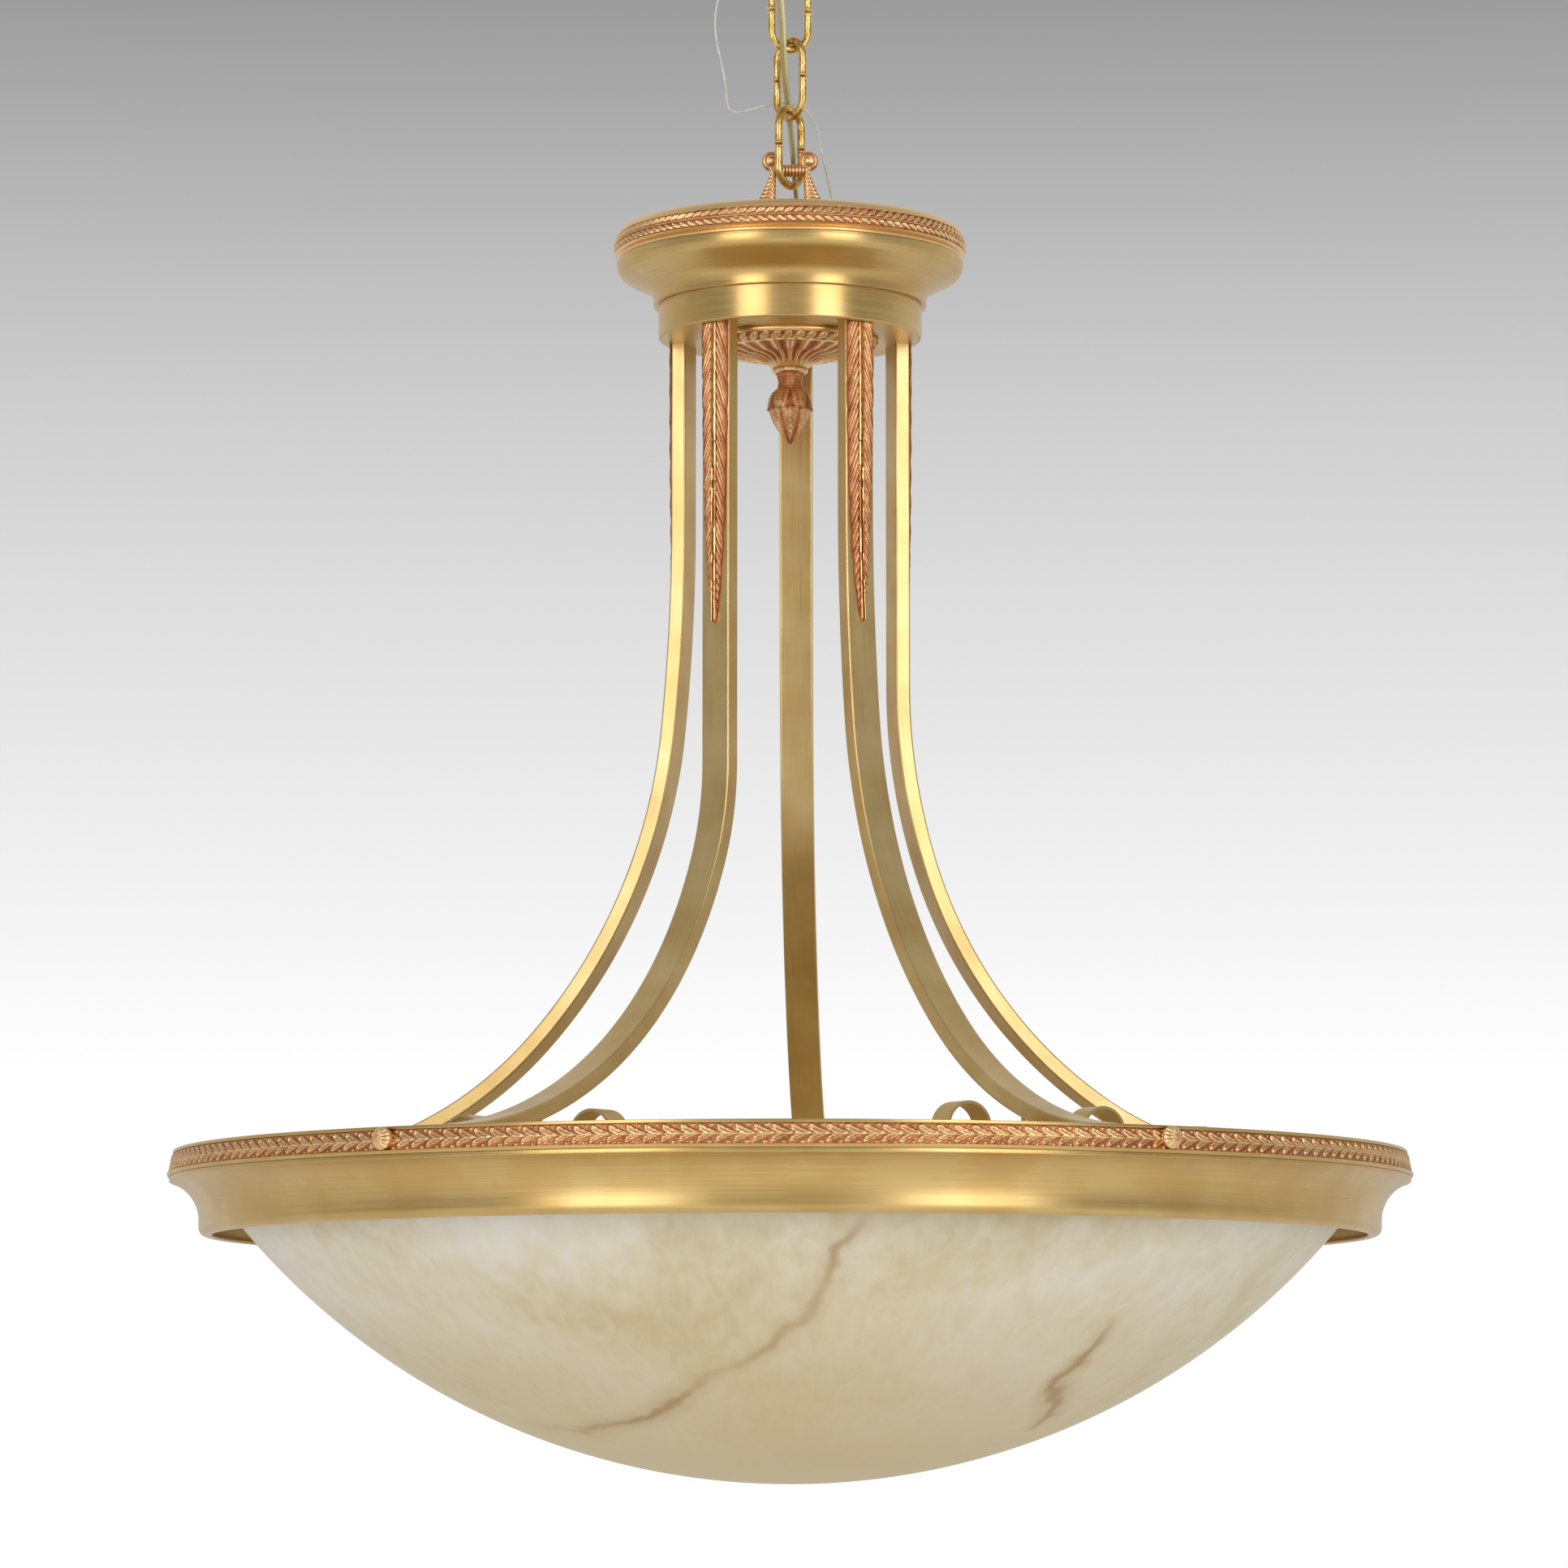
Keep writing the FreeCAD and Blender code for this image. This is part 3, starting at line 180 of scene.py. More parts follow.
def cord_line(route):
    """The points of the smooth NURBS line that has the route's points as its control points."""
    curve = bpy.data.curves.new("line", "CURVE")
    curve.dimensions = "3D"
    curve.resolution_u = 16
    spline = curve.splines.new("NURBS")
    spline.points.add(len(route) - 1)
    for point, place in zip(spline.points, route):
        point.co = (*place, 1)
    spline.order_u = 3
    spline.use_endpoint_u = True
    holder = bpy.data.objects.new("line", curve)
    bpy.context.scene.collection.objects.link(holder)
    line = bpy.data.meshes.new_from_object(holder)
    places = np.array([v.co for v in line.vertices])
    bpy.data.objects.remove(holder)
    bpy.data.curves.remove(curve)
    bpy.data.meshes.remove(line)
    return places


def stretches(name, route, cuts, section, turn, slot, material):
    """The cord's line cut where the CAD's is, each stretch a closed tube that bends over one joint.

    The section turns about the line by the given angle from the cord's top to its end.
    """
    line = cord_line(route)
    run = np.linspace(0, 1, len(line))[:, None] * math.radians(turn)
    aside = np.concatenate([np.cos(run), np.sin(run), 0 * run], 1)
    middles = [(np.array(route[k]) + np.array(route[k + 1])) / 2 for k in cuts]
    ends = [0] + [int(np.linalg.norm(line - p, axis=1).argmin()) for p in middles] + [len(line) - 1]
    for k, (first, last) in enumerate(zip(ends, ends[1:])):
        part = slice(first, last + 1)
        path = line[part]
        grid = shut(carried(path * 1000, aside[part], section))
        piece = skin(f"{name}_{k + 1}_visual", grid, None, slot, material, [f"{name}_{k + 1}"],
                     wrap=(False, True), poles=True)
        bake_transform(piece)


# Clear PVC: glossy, a little cloudy, with the copper showing as two darker gold lines in its lobes.
cord_pvc, tree, shader = finish_of("clear_gold_pvc", {
    "Roughness": 0.28, "IOR": 1.53, "Transmission Weight": 0.25, "Coat Weight": 0.3})
uv_map = add(tree, "ShaderNodeUVMap")
split = add(tree, "ShaderNodeSeparateXYZ", links={0: uv_map.outputs[0]})
lobes = add(tree, "ShaderNodeMath", {1: 0.98}, {0: split.outputs[1]}, operation="MULTIPLY")
wave = add(tree, "ShaderNodeMath", links={0: lobes.outputs[0]}, operation="SINE")
lay = add(tree, "ShaderNodeTexNoise", {"Scale": 0.5, "Detail": 3.0}, {"Vector": uv_map.outputs[0]})
mixed = add(tree, "ShaderNodeMath", {1: 0.7}, {0: wave.outputs[0], 2: lay.outputs[0]},
            operation="MULTIPLY_ADD")
tint = add(tree, "ShaderNodeValToRGB", links={0: mixed.outputs[0]})
shades(tint, (0.0, "B09A4C"), (1.0, "E6DFA8"))
tree.links.new(tint.outputs[0], shader.inputs["Base Color"])

turn = np.linspace(0, 2 * math.pi, 28, endpoint=False)
TWIN_HALF_WIDTH, TWIN_HALF_HEIGHT, TWIN_TURN = 2.5, 1.3, 70
wide = TWIN_HALF_WIDTH * np.cos(turn)
waist = 1 - 0.3 * np.exp(-(wide / 0.7) ** 2)
stretches("supply_cord", SUPPLY_ROUTE, SUPPLY_CUTS,
          np.stack([wide, TWIN_HALF_HEIGHT * np.sin(turn) * waist], 1), TWIN_TURN, "cord_sleeve",
          cord_pvc)


# Earth wire: a single thin conductor in a pale PVC sleeve. It leaves the canopy's floor, hangs in a
# wide loose bow beside the chain, folds sharply back to it and runs down to a screw on the crown.
EARTH_ROUTE = (
    (-0.0185, 0.006, -0.031), (-0.019, 0.006, -0.042), (-0.025, 0.0066, -0.055), (-0.037, 0.0076, -0.067),
    (-0.0464, 0.009, -0.081), (-0.0506, 0.01, -0.098), (-0.0494, 0.01, -0.115), (-0.0456, 0.011, -0.131),
    (-0.0428, 0.012, -0.146), (-0.0422, 0.012, -0.158), (-0.0386, 0.013, -0.164), (-0.029, 0.015, -0.162),
    (-0.017, 0.017, -0.158), (-0.003, 0.018, -0.1556), (0.009, 0.018, -0.1585), (0.0165, 0.018, -0.1675),
    (0.0196, 0.018, -0.181), (0.0226, 0.019, -0.196), (0.0265, 0.0205, -0.212), (0.0295, 0.021, -0.229),
    (0.030, 0.0204, -0.2444),
)
EARTH_CUTS = (4, 8, 15)
EARTH_R = 0.65

# Pale PVC, faintly greenish, its colour mottled by handling.
wire_pvc, tree, shader = finish_of("pale_pvc", {
    "Base Color": linear("DDDCD2"), "Roughness": 0.35, "IOR": 1.53, "Coat Weight": 0.15})
grime = add(tree, "ShaderNodeTexNoise", {"Scale": 0.35, "Detail": 4.0},
            {"Vector": add(tree, "ShaderNodeUVMap").outputs[0]})
tint = add(tree, "ShaderNodeValToRGB", links={0: grime.outputs[0]})
shades(tint, (0.3, "BDBCA8"), (0.6, "E4E3DA"))
tree.links.new(tint.outputs[0], shader.inputs["Base Color"])

turn = np.linspace(0, 2 * math.pi, 12, endpoint=False)
stretches("earth_wire", EARTH_ROUTE, EARTH_CUTS, EARTH_R * np.stack([np.cos(turn), np.sin(turn)], 1), 0,
          "wire_sleeve", wire_pvc)


# Ceiling fitting: a spun brass canopy over a zinc-plated crossbar, held by a threaded tube and two nuts.
# A turned collar and a cast loop screw onto the tube below, and the chain hangs in the loop.
def dress(material, *nodes):
    """The material in the only slot of some CAD nodes."""
    for node in nodes:
        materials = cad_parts[node].data.materials
        materials.clear()
        materials.append(material)


# Brass turned on a lathe, sanded in rings and lacquered. The rings are drawn 1.4 mm wide so that they
# show, and they tint the metal and change its gloss. They spread a reflection across themselves, up and
# down the profile, which the anisotropy gives. Old lacquer is faintly cloudy over 45 mm.
spun_brass, tree, shader = finish_of("spun_satin_brass", {
    "Metallic": 1.0, "Anisotropic": 0.75, "Anisotropic Rotation": 0.25})
around = add(tree, "ShaderNodeTangent", direction_type="RADIAL", axis="Z")
tree.links.new(around.outputs[0], shader.inputs["Tangent"])
place = add(tree, "ShaderNodeTexCoord").outputs["Object"]
split = add(tree, "ShaderNodeSeparateXYZ", links={0: place})
turn = add(tree, "ShaderNodeMath", links={0: split.outputs[0], 1: split.outputs[1]}, operation="ARCTAN2")
flat = add(tree, "ShaderNodeVectorMath", {1: (1, 1, 0)}, {0: place}, operation="MULTIPLY")
reach = add(tree, "ShaderNodeVectorMath", links={0: flat.outputs[0]}, operation="LENGTH")
rings = add(tree, "ShaderNodeCombineXYZ",
            links={0: turn.outputs[0], 1: reach.outputs["Value"], 2: split.outputs[2]})
fine = add(tree, "ShaderNodeMapping", {"Scale": (1.4, 700, 700)}, {0: rings.outputs[0]})
sanding = add(tree, "ShaderNodeTexNoise", {"Scale": 1.0, "Detail": 4.0}, {"Vector": fine.outputs[0]})
clouds = add(tree, "ShaderNodeTexNoise", {"Scale": 22.0, "Detail": 3.0}, {"Vector": place})
both = add(tree, "ShaderNodeMath", {1: 0.8}, {0: sanding.outputs[0], 2: clouds.outputs[0]},
           operation="MULTIPLY_ADD")
tint = add(tree, "ShaderNodeValToRGB", links={0: both.outputs[0]})
shades(tint, (0.5, "CBA664"), (0.9, "D3B071"), (1.0, "D9BA7C"))
gloss = add(tree, "ShaderNodeMapRange", {1: 0.3, 2: 0.7, 3: 0.33, 4: 0.38}, {0: sanding.outputs[0]})
relief = add(tree, "ShaderNodeBump", {"Strength": 0.05, "Distance": 0.0002}, {"Height": sanding.outputs[0]})
tree.links.new(tint.outputs[0], shader.inputs["Base Color"])
tree.links.new(gloss.outputs[0], shader.inputs["Roughness"])
tree.links.new(relief.outputs[0], shader.inputs["Normal"])
dress(spun_brass, "ceiling_canopy", "loop_collar", "crown_top_plate", "crown_base_plate", "bowl_seat_ring",
      "lampholder_shells", "bulb_bases")

# Zinc-plated steel: pale, a little blue, with a soft bloom over 6 mm and fine specks.
zinc_steel, tree, shader = finish_of("zinc_plated_steel", {"Metallic": 1.0, "Roughness": 0.38})
place = add(tree, "ShaderNodeTexCoord").outputs["Object"]
bloom = add(tree, "ShaderNodeTexNoise", {"Scale": 160.0, "Detail": 5.0}, {"Vector": place})
tint = add(tree, "ShaderNodeValToRGB", links={0: bloom.outputs[0]})
shades(tint, (0.3, "9C9C96"), (0.6, "BFC0BE"), (0.8, "CBC9BC"))
specks = add(tree, "ShaderNodeBump", {"Strength": 0.1, "Distance": 0.0002}, {"Height": bloom.outputs[0]})
tree.links.new(tint.outputs[0], shader.inputs["Base Color"])
tree.links.new(specks.outputs[0], shader.inputs["Normal"])
dress(zinc_steel, "canopy_crossbar", "canopy_nipple", "canopy_nuts", "crown_tube", "crown_nuts",
      "arm_top_screws", "arm_plugs", "seat_screws", "rim_studs", "ground_screw", "lamp_post_nuts")


# Chain: three cast brass links, each bent from a round bar, with a bamboo-like knuckle on both strands.
# The casting is uneven to the touch, rubbed bright on its bumps and brown in its hollows.
LINK_BEND, LINK_STRAIGHT, LINK_R = 12.25, 27.5, 2.75
LINK_PLACES = (
    ("chain_link_top", "upper_link", -68.8, 12.0),
    ("chain_link_middle", "middle_link", -115.0, -46.0),
    ("chain_link_bottom", "lower_link", -161.2, 52.0),
)


def aged(name, hollow, middle, high, rough=(0.3, 0.5), bump=0.35):
    """Cast metal whose colour follows its own height: dark in hollows, bright on what hands and cloths rub.

    The relief value of the points is broken up by noise over 2 and 9 mm, so that no edge is even.
    """
    metal, tree, shader = finish_of(name, {"Metallic": 1.0})
    place = add(tree, "ShaderNodeTexCoord").outputs["Object"]
    height = add(tree, "ShaderNodeAttribute", attribute_name="relief")
    grain = add(tree, "ShaderNodeTexNoise", {"Scale": 420.0, "Detail": 4.0}, {"Vector": place})
    patch = add(tree, "ShaderNodeTexNoise", {"Scale": 95.0, "Detail": 3.0}, {"Vector": place})
    worn = add(tree, "ShaderNodeMath", {1: 0.5}, {0: grain.outputs[0], 2: height.outputs["Fac"]},
               operation="MULTIPLY_ADD")
    worn = add(tree, "ShaderNodeMath", {1: 0.7}, {0: patch.outputs[0], 2: worn.outputs[0]},
               operation="MULTIPLY_ADD")
    level = add(tree, "ShaderNodeMapRange", {1: 0.3, 2: 1.5}, {0: worn.outputs[0]})
    tint = add(tree, "ShaderNodeValToRGB", links={0: level.outputs[0]})
    shades(tint, (0.12, hollow), (0.45, middle), (0.78, high))
    gloss = add(tree, "ShaderNodeMapRange", {3: rough[1], 4: rough[0]}, {0: level.outputs[0]})
    pits = add(tree, "ShaderNodeBump", {"Strength": bump, "Distance": 0.0004}, {"Height": grain.outputs[0]})
    tree.links.new(tint.outputs[0], shader.inputs["Base Color"])
    tree.links.new(gloss.outputs[0], shader.inputs["Roughness"])
    tree.links.new(pits.outputs[0], shader.inputs["Normal"])
    return metal


def spin(grid, degrees):
    """Points turned about the Z axis."""
    c, s = math.cos(math.radians(degrees)), math.sin(math.radians(degrees))
    return grid @ np.array([[c, s, 0], [-s, c, 0], [0, 0, 1]])


cast_brass = aged("cast_aged_brass", "7A5522", "C39A4E", "EBCB86", rough=(0.2, 0.42), bump=0.5)
dress(cast_brass, "canopy_loop")
even, close = np.linspace(-0.5, 0.5, 25)[:-1], np.linspace(-0.1, 0.1, 24)
strand = LINK_STRAIGHT * np.sort(np.concatenate([even, close]))[::-1]
bend = np.linspace(0, math.pi, 34)[1:-1]
side = np.concatenate([np.full(strand.shape, LINK_BEND), LINK_BEND * np.cos(bend)])
up = np.concatenate([strand[::-1], LINK_STRAIGHT / 2 + LINK_BEND * np.sin(bend)])
path = np.stack([np.concatenate([side, -side]), np.zeros(2 * len(side)), np.concatenate([up, -up])], 1)
run = np.abs(path[:, 2])[:, None]
on_strand = (np.abs(np.abs(path[:, 0]) - LINK_BEND) < 0.01)[:, None]
turn = np.linspace(0, 2 * math.pi, 24, endpoint=False)[None]
knuckle = on_strand * (0.5 * np.exp(-((run - 1.5) / 0.8) ** 2) - 0.5 * np.exp(-(run / 0.45) ** 2))
lumps = np.sin(path[:, 2:] * 0.9 + 2 * turn) * np.sin(path[:, 2:] * 0.43 + 3 * turn + path[:, :1]) - 1
thick = LINK_R + knuckle + 0.12 * lumps
section = np.stack([thick * np.cos(turn), thick * np.sin(turn)], -1)
loop = carried(np.concatenate([path[-2:], path, path[:2]]), np.array([[0.0, 1.0, 0.0]]),
               np.concatenate([section[-2:], section, section[:2]]))[2:-2]
for name, body, top, angle in LINK_PLACES:
    skin(f"{name}_visual", spin(loop, angle) + (0, 0, top - LINK_R - LINK_BEND - LINK_STRAIGHT / 2), body,
         "cast_brass", cast_brass, [name], relief=0.45 + 0.6 * knuckle + 0.25 * (lumps + 1))


# Yoke: a cast hanger screwed to the crown's top plate. A ribbed bar between two volutes takes the last
# link, and two feathered legs flare out to a foot. Its red copper patina is rubbed to gold on the high parts.
YOKE_BAR_Z, YOKE_BASE_Z = -205.85, -243.85


def bow(start, middle, end, count=14):
    """Points on the circle through three points, from the first to the last, found as complex numbers."""
    a, b, c = (complex(*point) for point in (start, middle, end))
    w = (c - a) / (b - a)
    centre = a - (a - b) * (w - abs(w) ** 2) / 2j / w.imag
    angles = np.unwrap([np.angle(point - centre) for point in (a, b, c)])
    sweep = centre + abs(a - centre) * np.exp(1j * np.linspace(angles[0], angles[2], count))
    return np.stack([sweep.real, sweep.imag], 1)


def spread(line, count):
    """Points evenly spaced along a line, read from its running length."""
    run = np.concatenate([[0], np.cumsum(np.linalg.norm(np.diff(line, axis=0), axis=1))])
    at = np.linspace(0, run[-1], count)
    return np.stack([np.interp(at, run, line[:, k]) for k in range(2)], 1)


BAR_HALF, BAR_R, RIB_PITCH, RIB_DEPTH = 11, 4.3, 2.2, 0.5
patinated_brass = aged("patinated_cast_brass", "985536", "C98759", "F3CF98")
turn = np.linspace(0, 2 * math.pi, 40, endpoint=False)[None]
out = np.linspace(-BAR_HALF, BAR_HALF, 111)[:, None]
ribs = 0.5 + 0.5 * np.cos(2 * math.pi * out / RIB_PITCH)
thick = BAR_R - RIB_DEPTH * (1 - ribs) ** 2
bar = np.stack([out + 0 * turn, thick * np.cos(turn), YOKE_BAR_Z + thick * np.sin(turn)], -1)
skin("yoke_bar_visual", shut(bar), "pendant", "patinated_brass", patinated_brass, ["yoke"],
     wrap=(False, True), poles=True, hard=180, relief=shut(ribs + 0 * turn))

# Each volute is a thick rounded disc whose faces carry one spiral groove about a domed eye.
VOLUTE_R, VOLUTE_HALF, EYE_R, GROOVE_PITCH = 6.4, 4, 2.2, 2.7
sweep = np.linspace(0, math.pi, 70)[:, None]
reach = VOLUTE_R * np.sin(sweep) ** 0.6
front = np.sign(np.cos(sweep)) * np.abs(np.cos(sweep)) ** 0.35
scroll = 0.5 + 0.5 * np.cos(turn - 2 * math.pi * reach / GROOVE_PITCH)
flat = np.clip((np.abs(front) - 0.75) / 0.2, 0, 1) * (reach > EYE_R)
eye = 0.8 * np.sqrt(np.clip(1 - (reach / EYE_R) ** 2, 0, 1))
deep = front * (VOLUTE_HALF - 0.9 * (1 - scroll) * flat + eye)
for side in (-1, 1):
    disc = np.stack([side * (12.2 + reach * np.cos(turn)), deep, YOKE_BAR_Z + 6.2 + reach * np.sin(turn)], -1)
    skin(f"yoke_volute_{side % 3}_visual", disc, "pendant", "patinated_brass", patinated_brass, ["yoke"],
         wrap=(False, True), poles=True, hard=180, relief=np.maximum(scroll * flat, eye) * 0.8 + 0.1)

# Each leg fills the space between an inner and an outer curve, with slanted barbs like a feather's.
LEG_ROWS, LEG_BARBS = 130, 17
inner = np.concatenate([
    [(9.2, YOKE_BAR_Z)],
    bow((9.2, YOKE_BASE_Z + 16), (11.6, YOKE_BASE_Z + 5), (21, YOKE_BASE_Z - 1))])
outer = np.concatenate([
    [(15, YOKE_BAR_Z + 3)],
    bow((13.4, YOKE_BAR_Z - 2), (22, YOKE_BASE_Z + 17), (35, YOKE_BASE_Z - 1))])
inner, outer = spread(inner, LEG_ROWS)[:, None], spread(outer, LEG_ROWS)[:, None]
turn = np.linspace(0, 2 * math.pi, 48, endpoint=False)[None, :, None]
across, deep = (np.sign(f(turn)) * np.abs(f(turn)) ** 0.7 for f in (np.cos, np.sin))
down = np.linspace(0, 1, LEG_ROWS)[:, None, None]
barbs = 0.5 + 0.5 * np.cos(2 * math.pi * (LEG_BARBS * down - 0.9 * np.abs(across)))
inset = 1 - 0.07 * (1 - barbs)
leg = (inner + outer) / 2 + across * inset * (outer - inner) / 2
half = (4 + 2 * np.clip((down - 0.45) / 0.3, 0, 1)) * deep * inset
for side in (-1, 1):
    grid = np.concatenate([side * leg[..., :1], half, leg[..., 1:]], -1)
    skin(f"yoke_leg_{side % 3}_visual", shut(grid), "pendant", "patinated_brass", patinated_brass, ["yoke"],
         wrap=(False, True), poles=True, hard=180, relief=shut(0.2 + 0.5 * barbs[..., 0]))

# The foot is a flat block with rounded ends, 76 by 24 mm and 5 mm thick.
turn = np.linspace(0, 2 * math.pi, 96, endpoint=False)
FOOT_HALF_LONG, FOOT_HALF_WIDE, FOOT_THICK = 38, 12, 5
plan = ((np.abs(np.cos(turn)) / FOOT_HALF_LONG) ** 8 + (np.abs(np.sin(turn)) / FOOT_HALF_WIDE) ** 8) ** -0.125
edge = np.concatenate([
    [(-99, 0)], bow((-0.8, 0), (-0.23, 0.23), (0, 0.8), 6),
    bow((0, 3.8), (-0.35, 4.65), (-1.2, FOOT_THICK), 6), [(-99, FOOT_THICK)]])
reach = np.clip(plan + edge[:, :1], 0, None)
skin("yoke_foot_visual", np.stack([reach * np.cos(turn), reach * np.sin(turn),
                                   YOKE_BASE_Z - FOOT_THICK + edge[:, 1:] + 0 * turn], -1),
     "pendant", "patinated_brass", patinated_brass, ["yoke"], wrap=(False, True), poles=True,
     relief=np.full((1, 1), 0.5))


# Crown: a cast laurel ring with a smooth rounded top edge, over a flared moulding and a plain band, both
# spun from brass sheet. A tie tube clamps the three between the top plate and the base plate.
CROWN_Z = -319.85
CROWN_LEAVES = 116


def turned(outline, count=192):
    """An outline of radii and heights turned about the Z axis, from the back round by the front.

    x is r sin a and y is -r cos a. The outline may differ from angle to angle.
    """
    outline = np.broadcast_to(outline, (count,) + np.shape(outline)[-2:])
    a = np.linspace(-math.pi, math.pi, count, endpoint=False)[:, None]
    return np.stack([outline[..., 0] * np.sin(a), -outline[..., 0] * np.cos(a), outline[..., 1]], -1)


def pressed(line, depth):
    """A line moved to its left, square to itself, by a depth that may differ from angle to angle."""
    ahead = np.gradient(line, axis=0)
    ahead /= np.linalg.norm(ahead, axis=1, keepdims=True)
    return line + depth[..., None] * np.stack([-ahead[:, 1], ahead[:, 0]], 1)


def eased(outline, reach=0.6, count=5):
    """A closed outline with its corners rounded by quadratic curves.

    A curve starts and ends at the reach from the corner, or a third of a short side. A point on each side
    of it keeps the sides flat.
    """
    corner = np.array(outline, float)
    rounds = []
    for other in (np.roll(corner, 1, 0), np.roll(corner, -1, 0)):
        side = other - corner
        length = np.linalg.norm(side, axis=1, keepdims=True)
        rounds.append(side / length * np.minimum(reach, 0.35 * length))
    t = np.linspace(0, 1, count)[:, None, None]
    curve = corner + (1 - t) ** 2 * rounds[0] + t ** 2 * rounds[1]
    both = np.concatenate([[corner + 1.3 * rounds[0]], curve, [corner + 1.3 * rounds[1]]])
    return both.transpose(1, 0, 2).reshape(-1, 2)


def bent(steps, gap):
    """The line of a bar bent in the flat, as the way out and the way ahead from its start.

    Each step is a run and the degrees that the heading turns outwards over it. The line is the running
    sum of the heading's sine and cosine, with points a gap apart.
    """
    length = np.cumsum([0] + [run for run, _ in steps])
    at = np.linspace(0, length[-1], int(length[-1] / gap))
    heading = np.radians(np.interp(at, length, np.cumsum([0] + [turn for _, turn in steps])))
    middle = (heading[1:] + heading[:-1]) / 2
    line = np.cumsum(np.diff(at)[:, None] * np.stack([np.sin(middle), np.cos(middle)], 1), 0)
    return np.concatenate([[(0, 0)], line])


def slanted(u, v, lean):
    """Height of a row of slanted leaves, 1 on the blade and less along its midrib.

    u counts the leaves and v runs from 0 to 1 across the row. The blade is a parabola about the leaf's
    slanted middle, and its width is a sine along it.
    """
    across = (u - lean * v) % 1 - 0.5
    width = 0.1 + 0.4 * np.sin(math.pi * np.clip(v, 0, 1)) ** 0.7
    blade = np.clip(1.15 - 1.15 * (across / width) ** 2, 0, 1)
    return blade * (1 - 0.5 * np.exp(-(across / 0.07) ** 2)) * (np.abs(v - 0.5) < 0.5)


count = CROWN_LEAVES * 9
face = bow((116.3, 56.1), (117, 62.1), (114.8, 68.3), 40)
high = face[:, 1]
u = CROWN_LEAVES * np.linspace(0, 1, count, endpoint=False)[:, None]
leaves = np.maximum(slanted(u, (high - 57.2) / 4.2, -0.75), slanted(u, (high - 63.1) / 4.6, 0.75))
lines = np.exp(-((high - 62.2) / 0.45) ** 4) + np.exp(-((high - 56.4) / 0.45) ** 4) + (high > 67.9)
leaves = np.clip(leaves + lines, 0, 1)
top = np.concatenate([
    bow((114.8, 68.3), (112.8, 71.8), (109.5, 73), 12)[1:],
    [(104, 73), (104, 68), (99.8, 68), (99.8, 52.1)],
    [(113, 52.1)], bow((113, 52.1), (114.3, 53.4), (113, 54.7), 8)[1:]])
outline = np.concatenate([pressed(face, 1.2 * (1 - leaves)), np.broadcast_to(top, (count,) + top.shape)], 1)
relief = np.concatenate([0.1 + 0.75 * leaves, np.full((count, len(top)), 0.75)], 1)
skin("crown_ornament_visual", turned(outline + (0, CROWN_Z), count), "pendant", "patinated_brass",
     patinated_brass, ["crown_ornament_ring"], relief=relief)

FLARE_TURN, FLARE_INNER_R, FLARE_OUTER_R = 64, 10, 9
flare = bent([(3.078, 0), (FLARE_INNER_R * math.radians(FLARE_TURN), FLARE_TURN), (15.386, 0),
              (FLARE_OUTER_R * math.radians(FLARE_TURN), -FLARE_TURN), (1.5, 0)], 1.3)
flare += (90.6, 22.1)
outline = np.concatenate([
    flare,
    [(115.1, 50.6), (114.5, 51.0), (113.9, 51.0), (113.9, 52.1), (99.8, 52.1), (99.8, 50.3), (112, 50.3)],
    pressed(flare, np.array(1.6))[::-1][3:-3],
    [(89, 23.7), (79.4, 23.7), (79.4, 22.1)]])
skin("crown_cavetto_visual", turned(eased(outline, 0.4, 3) + (0, CROWN_Z)), "pendant", "satin_brass",
     spun_brass, ["crown_cavetto"])
outline = np.concatenate([
    bow((85.8, 0), (86.93, 0.47), (87.4, 1.6), 8),
    [(87.4, 22.1), (79.4, 22.1), (79.4, 20.5), (85.8, 20.5)]])
skin("crown_band_visual", turned(eased(outline, 0.5, 3) + (0, CROWN_Z)), "pendant", "satin_brass",
     spun_brass, ["crown_band"])


# Rosette: a cast cup under the crown, with a band of leaves round its edge and flutes running in to the
# neck. It is screwed up against the base plate by the tie tube. Brown in the flutes, worn on the ridges.
FLUTES, ROSETTE_LEAVES = 26, 44
count = FLUTES * 16
u = np.linspace(0, 1, count, endpoint=False)[:, None]
cup = np.concatenate([
    bow((12, -19.4), (19, -14.7), (33.06, -12.03), 34), [(50, -8.15)],
    bow((50, -8.15), (54.8, -6.6), (58, -3.2), 8)[1:],
    bow((58, -3.2), (58.8, -1.6), (58, 0), 6)[1:]])
cup = spread(cup, 100)
reach = cup[:, 0]
ridges = (0.5 + 0.5 * np.cos(2 * math.pi * FLUTES * u)) ** 1.6
along = np.clip((reach - 13) / 5, 0, 1) * np.clip((48.2 - reach) / 2.5, 0, 1)
flutes = 1 - along * (1 - ridges)
sprigs = np.where((reach > 49.5) & (reach < 57.6), slanted(u * ROSETTE_LEAVES, (reach - 49.5) / 8.1, 0.5), 1)
height = np.minimum(flutes, sprigs)
depth = (1 - flutes) * (0.5 + 0.02 * reach) + (1 - sprigs) * 0.9
back = np.array([(55, 0), (55, -2), (49, -5.4), (33.06, -9.7), (13, -13.97), (5.3, -16.3), (5.3, -19.4)])
outline = np.concatenate([pressed(cup, depth), np.broadcast_to(back, (count,) + back.shape)], 1)
relief = np.concatenate([0.05 + 0.8 * height, np.full((count, len(back)), 0.4)], 1)
skin("rosette_visual", turned(outline + (0, CROWN_Z), count), "pendant", "patinated_brass", patinated_brass,
     ["rosette"], relief=relief)


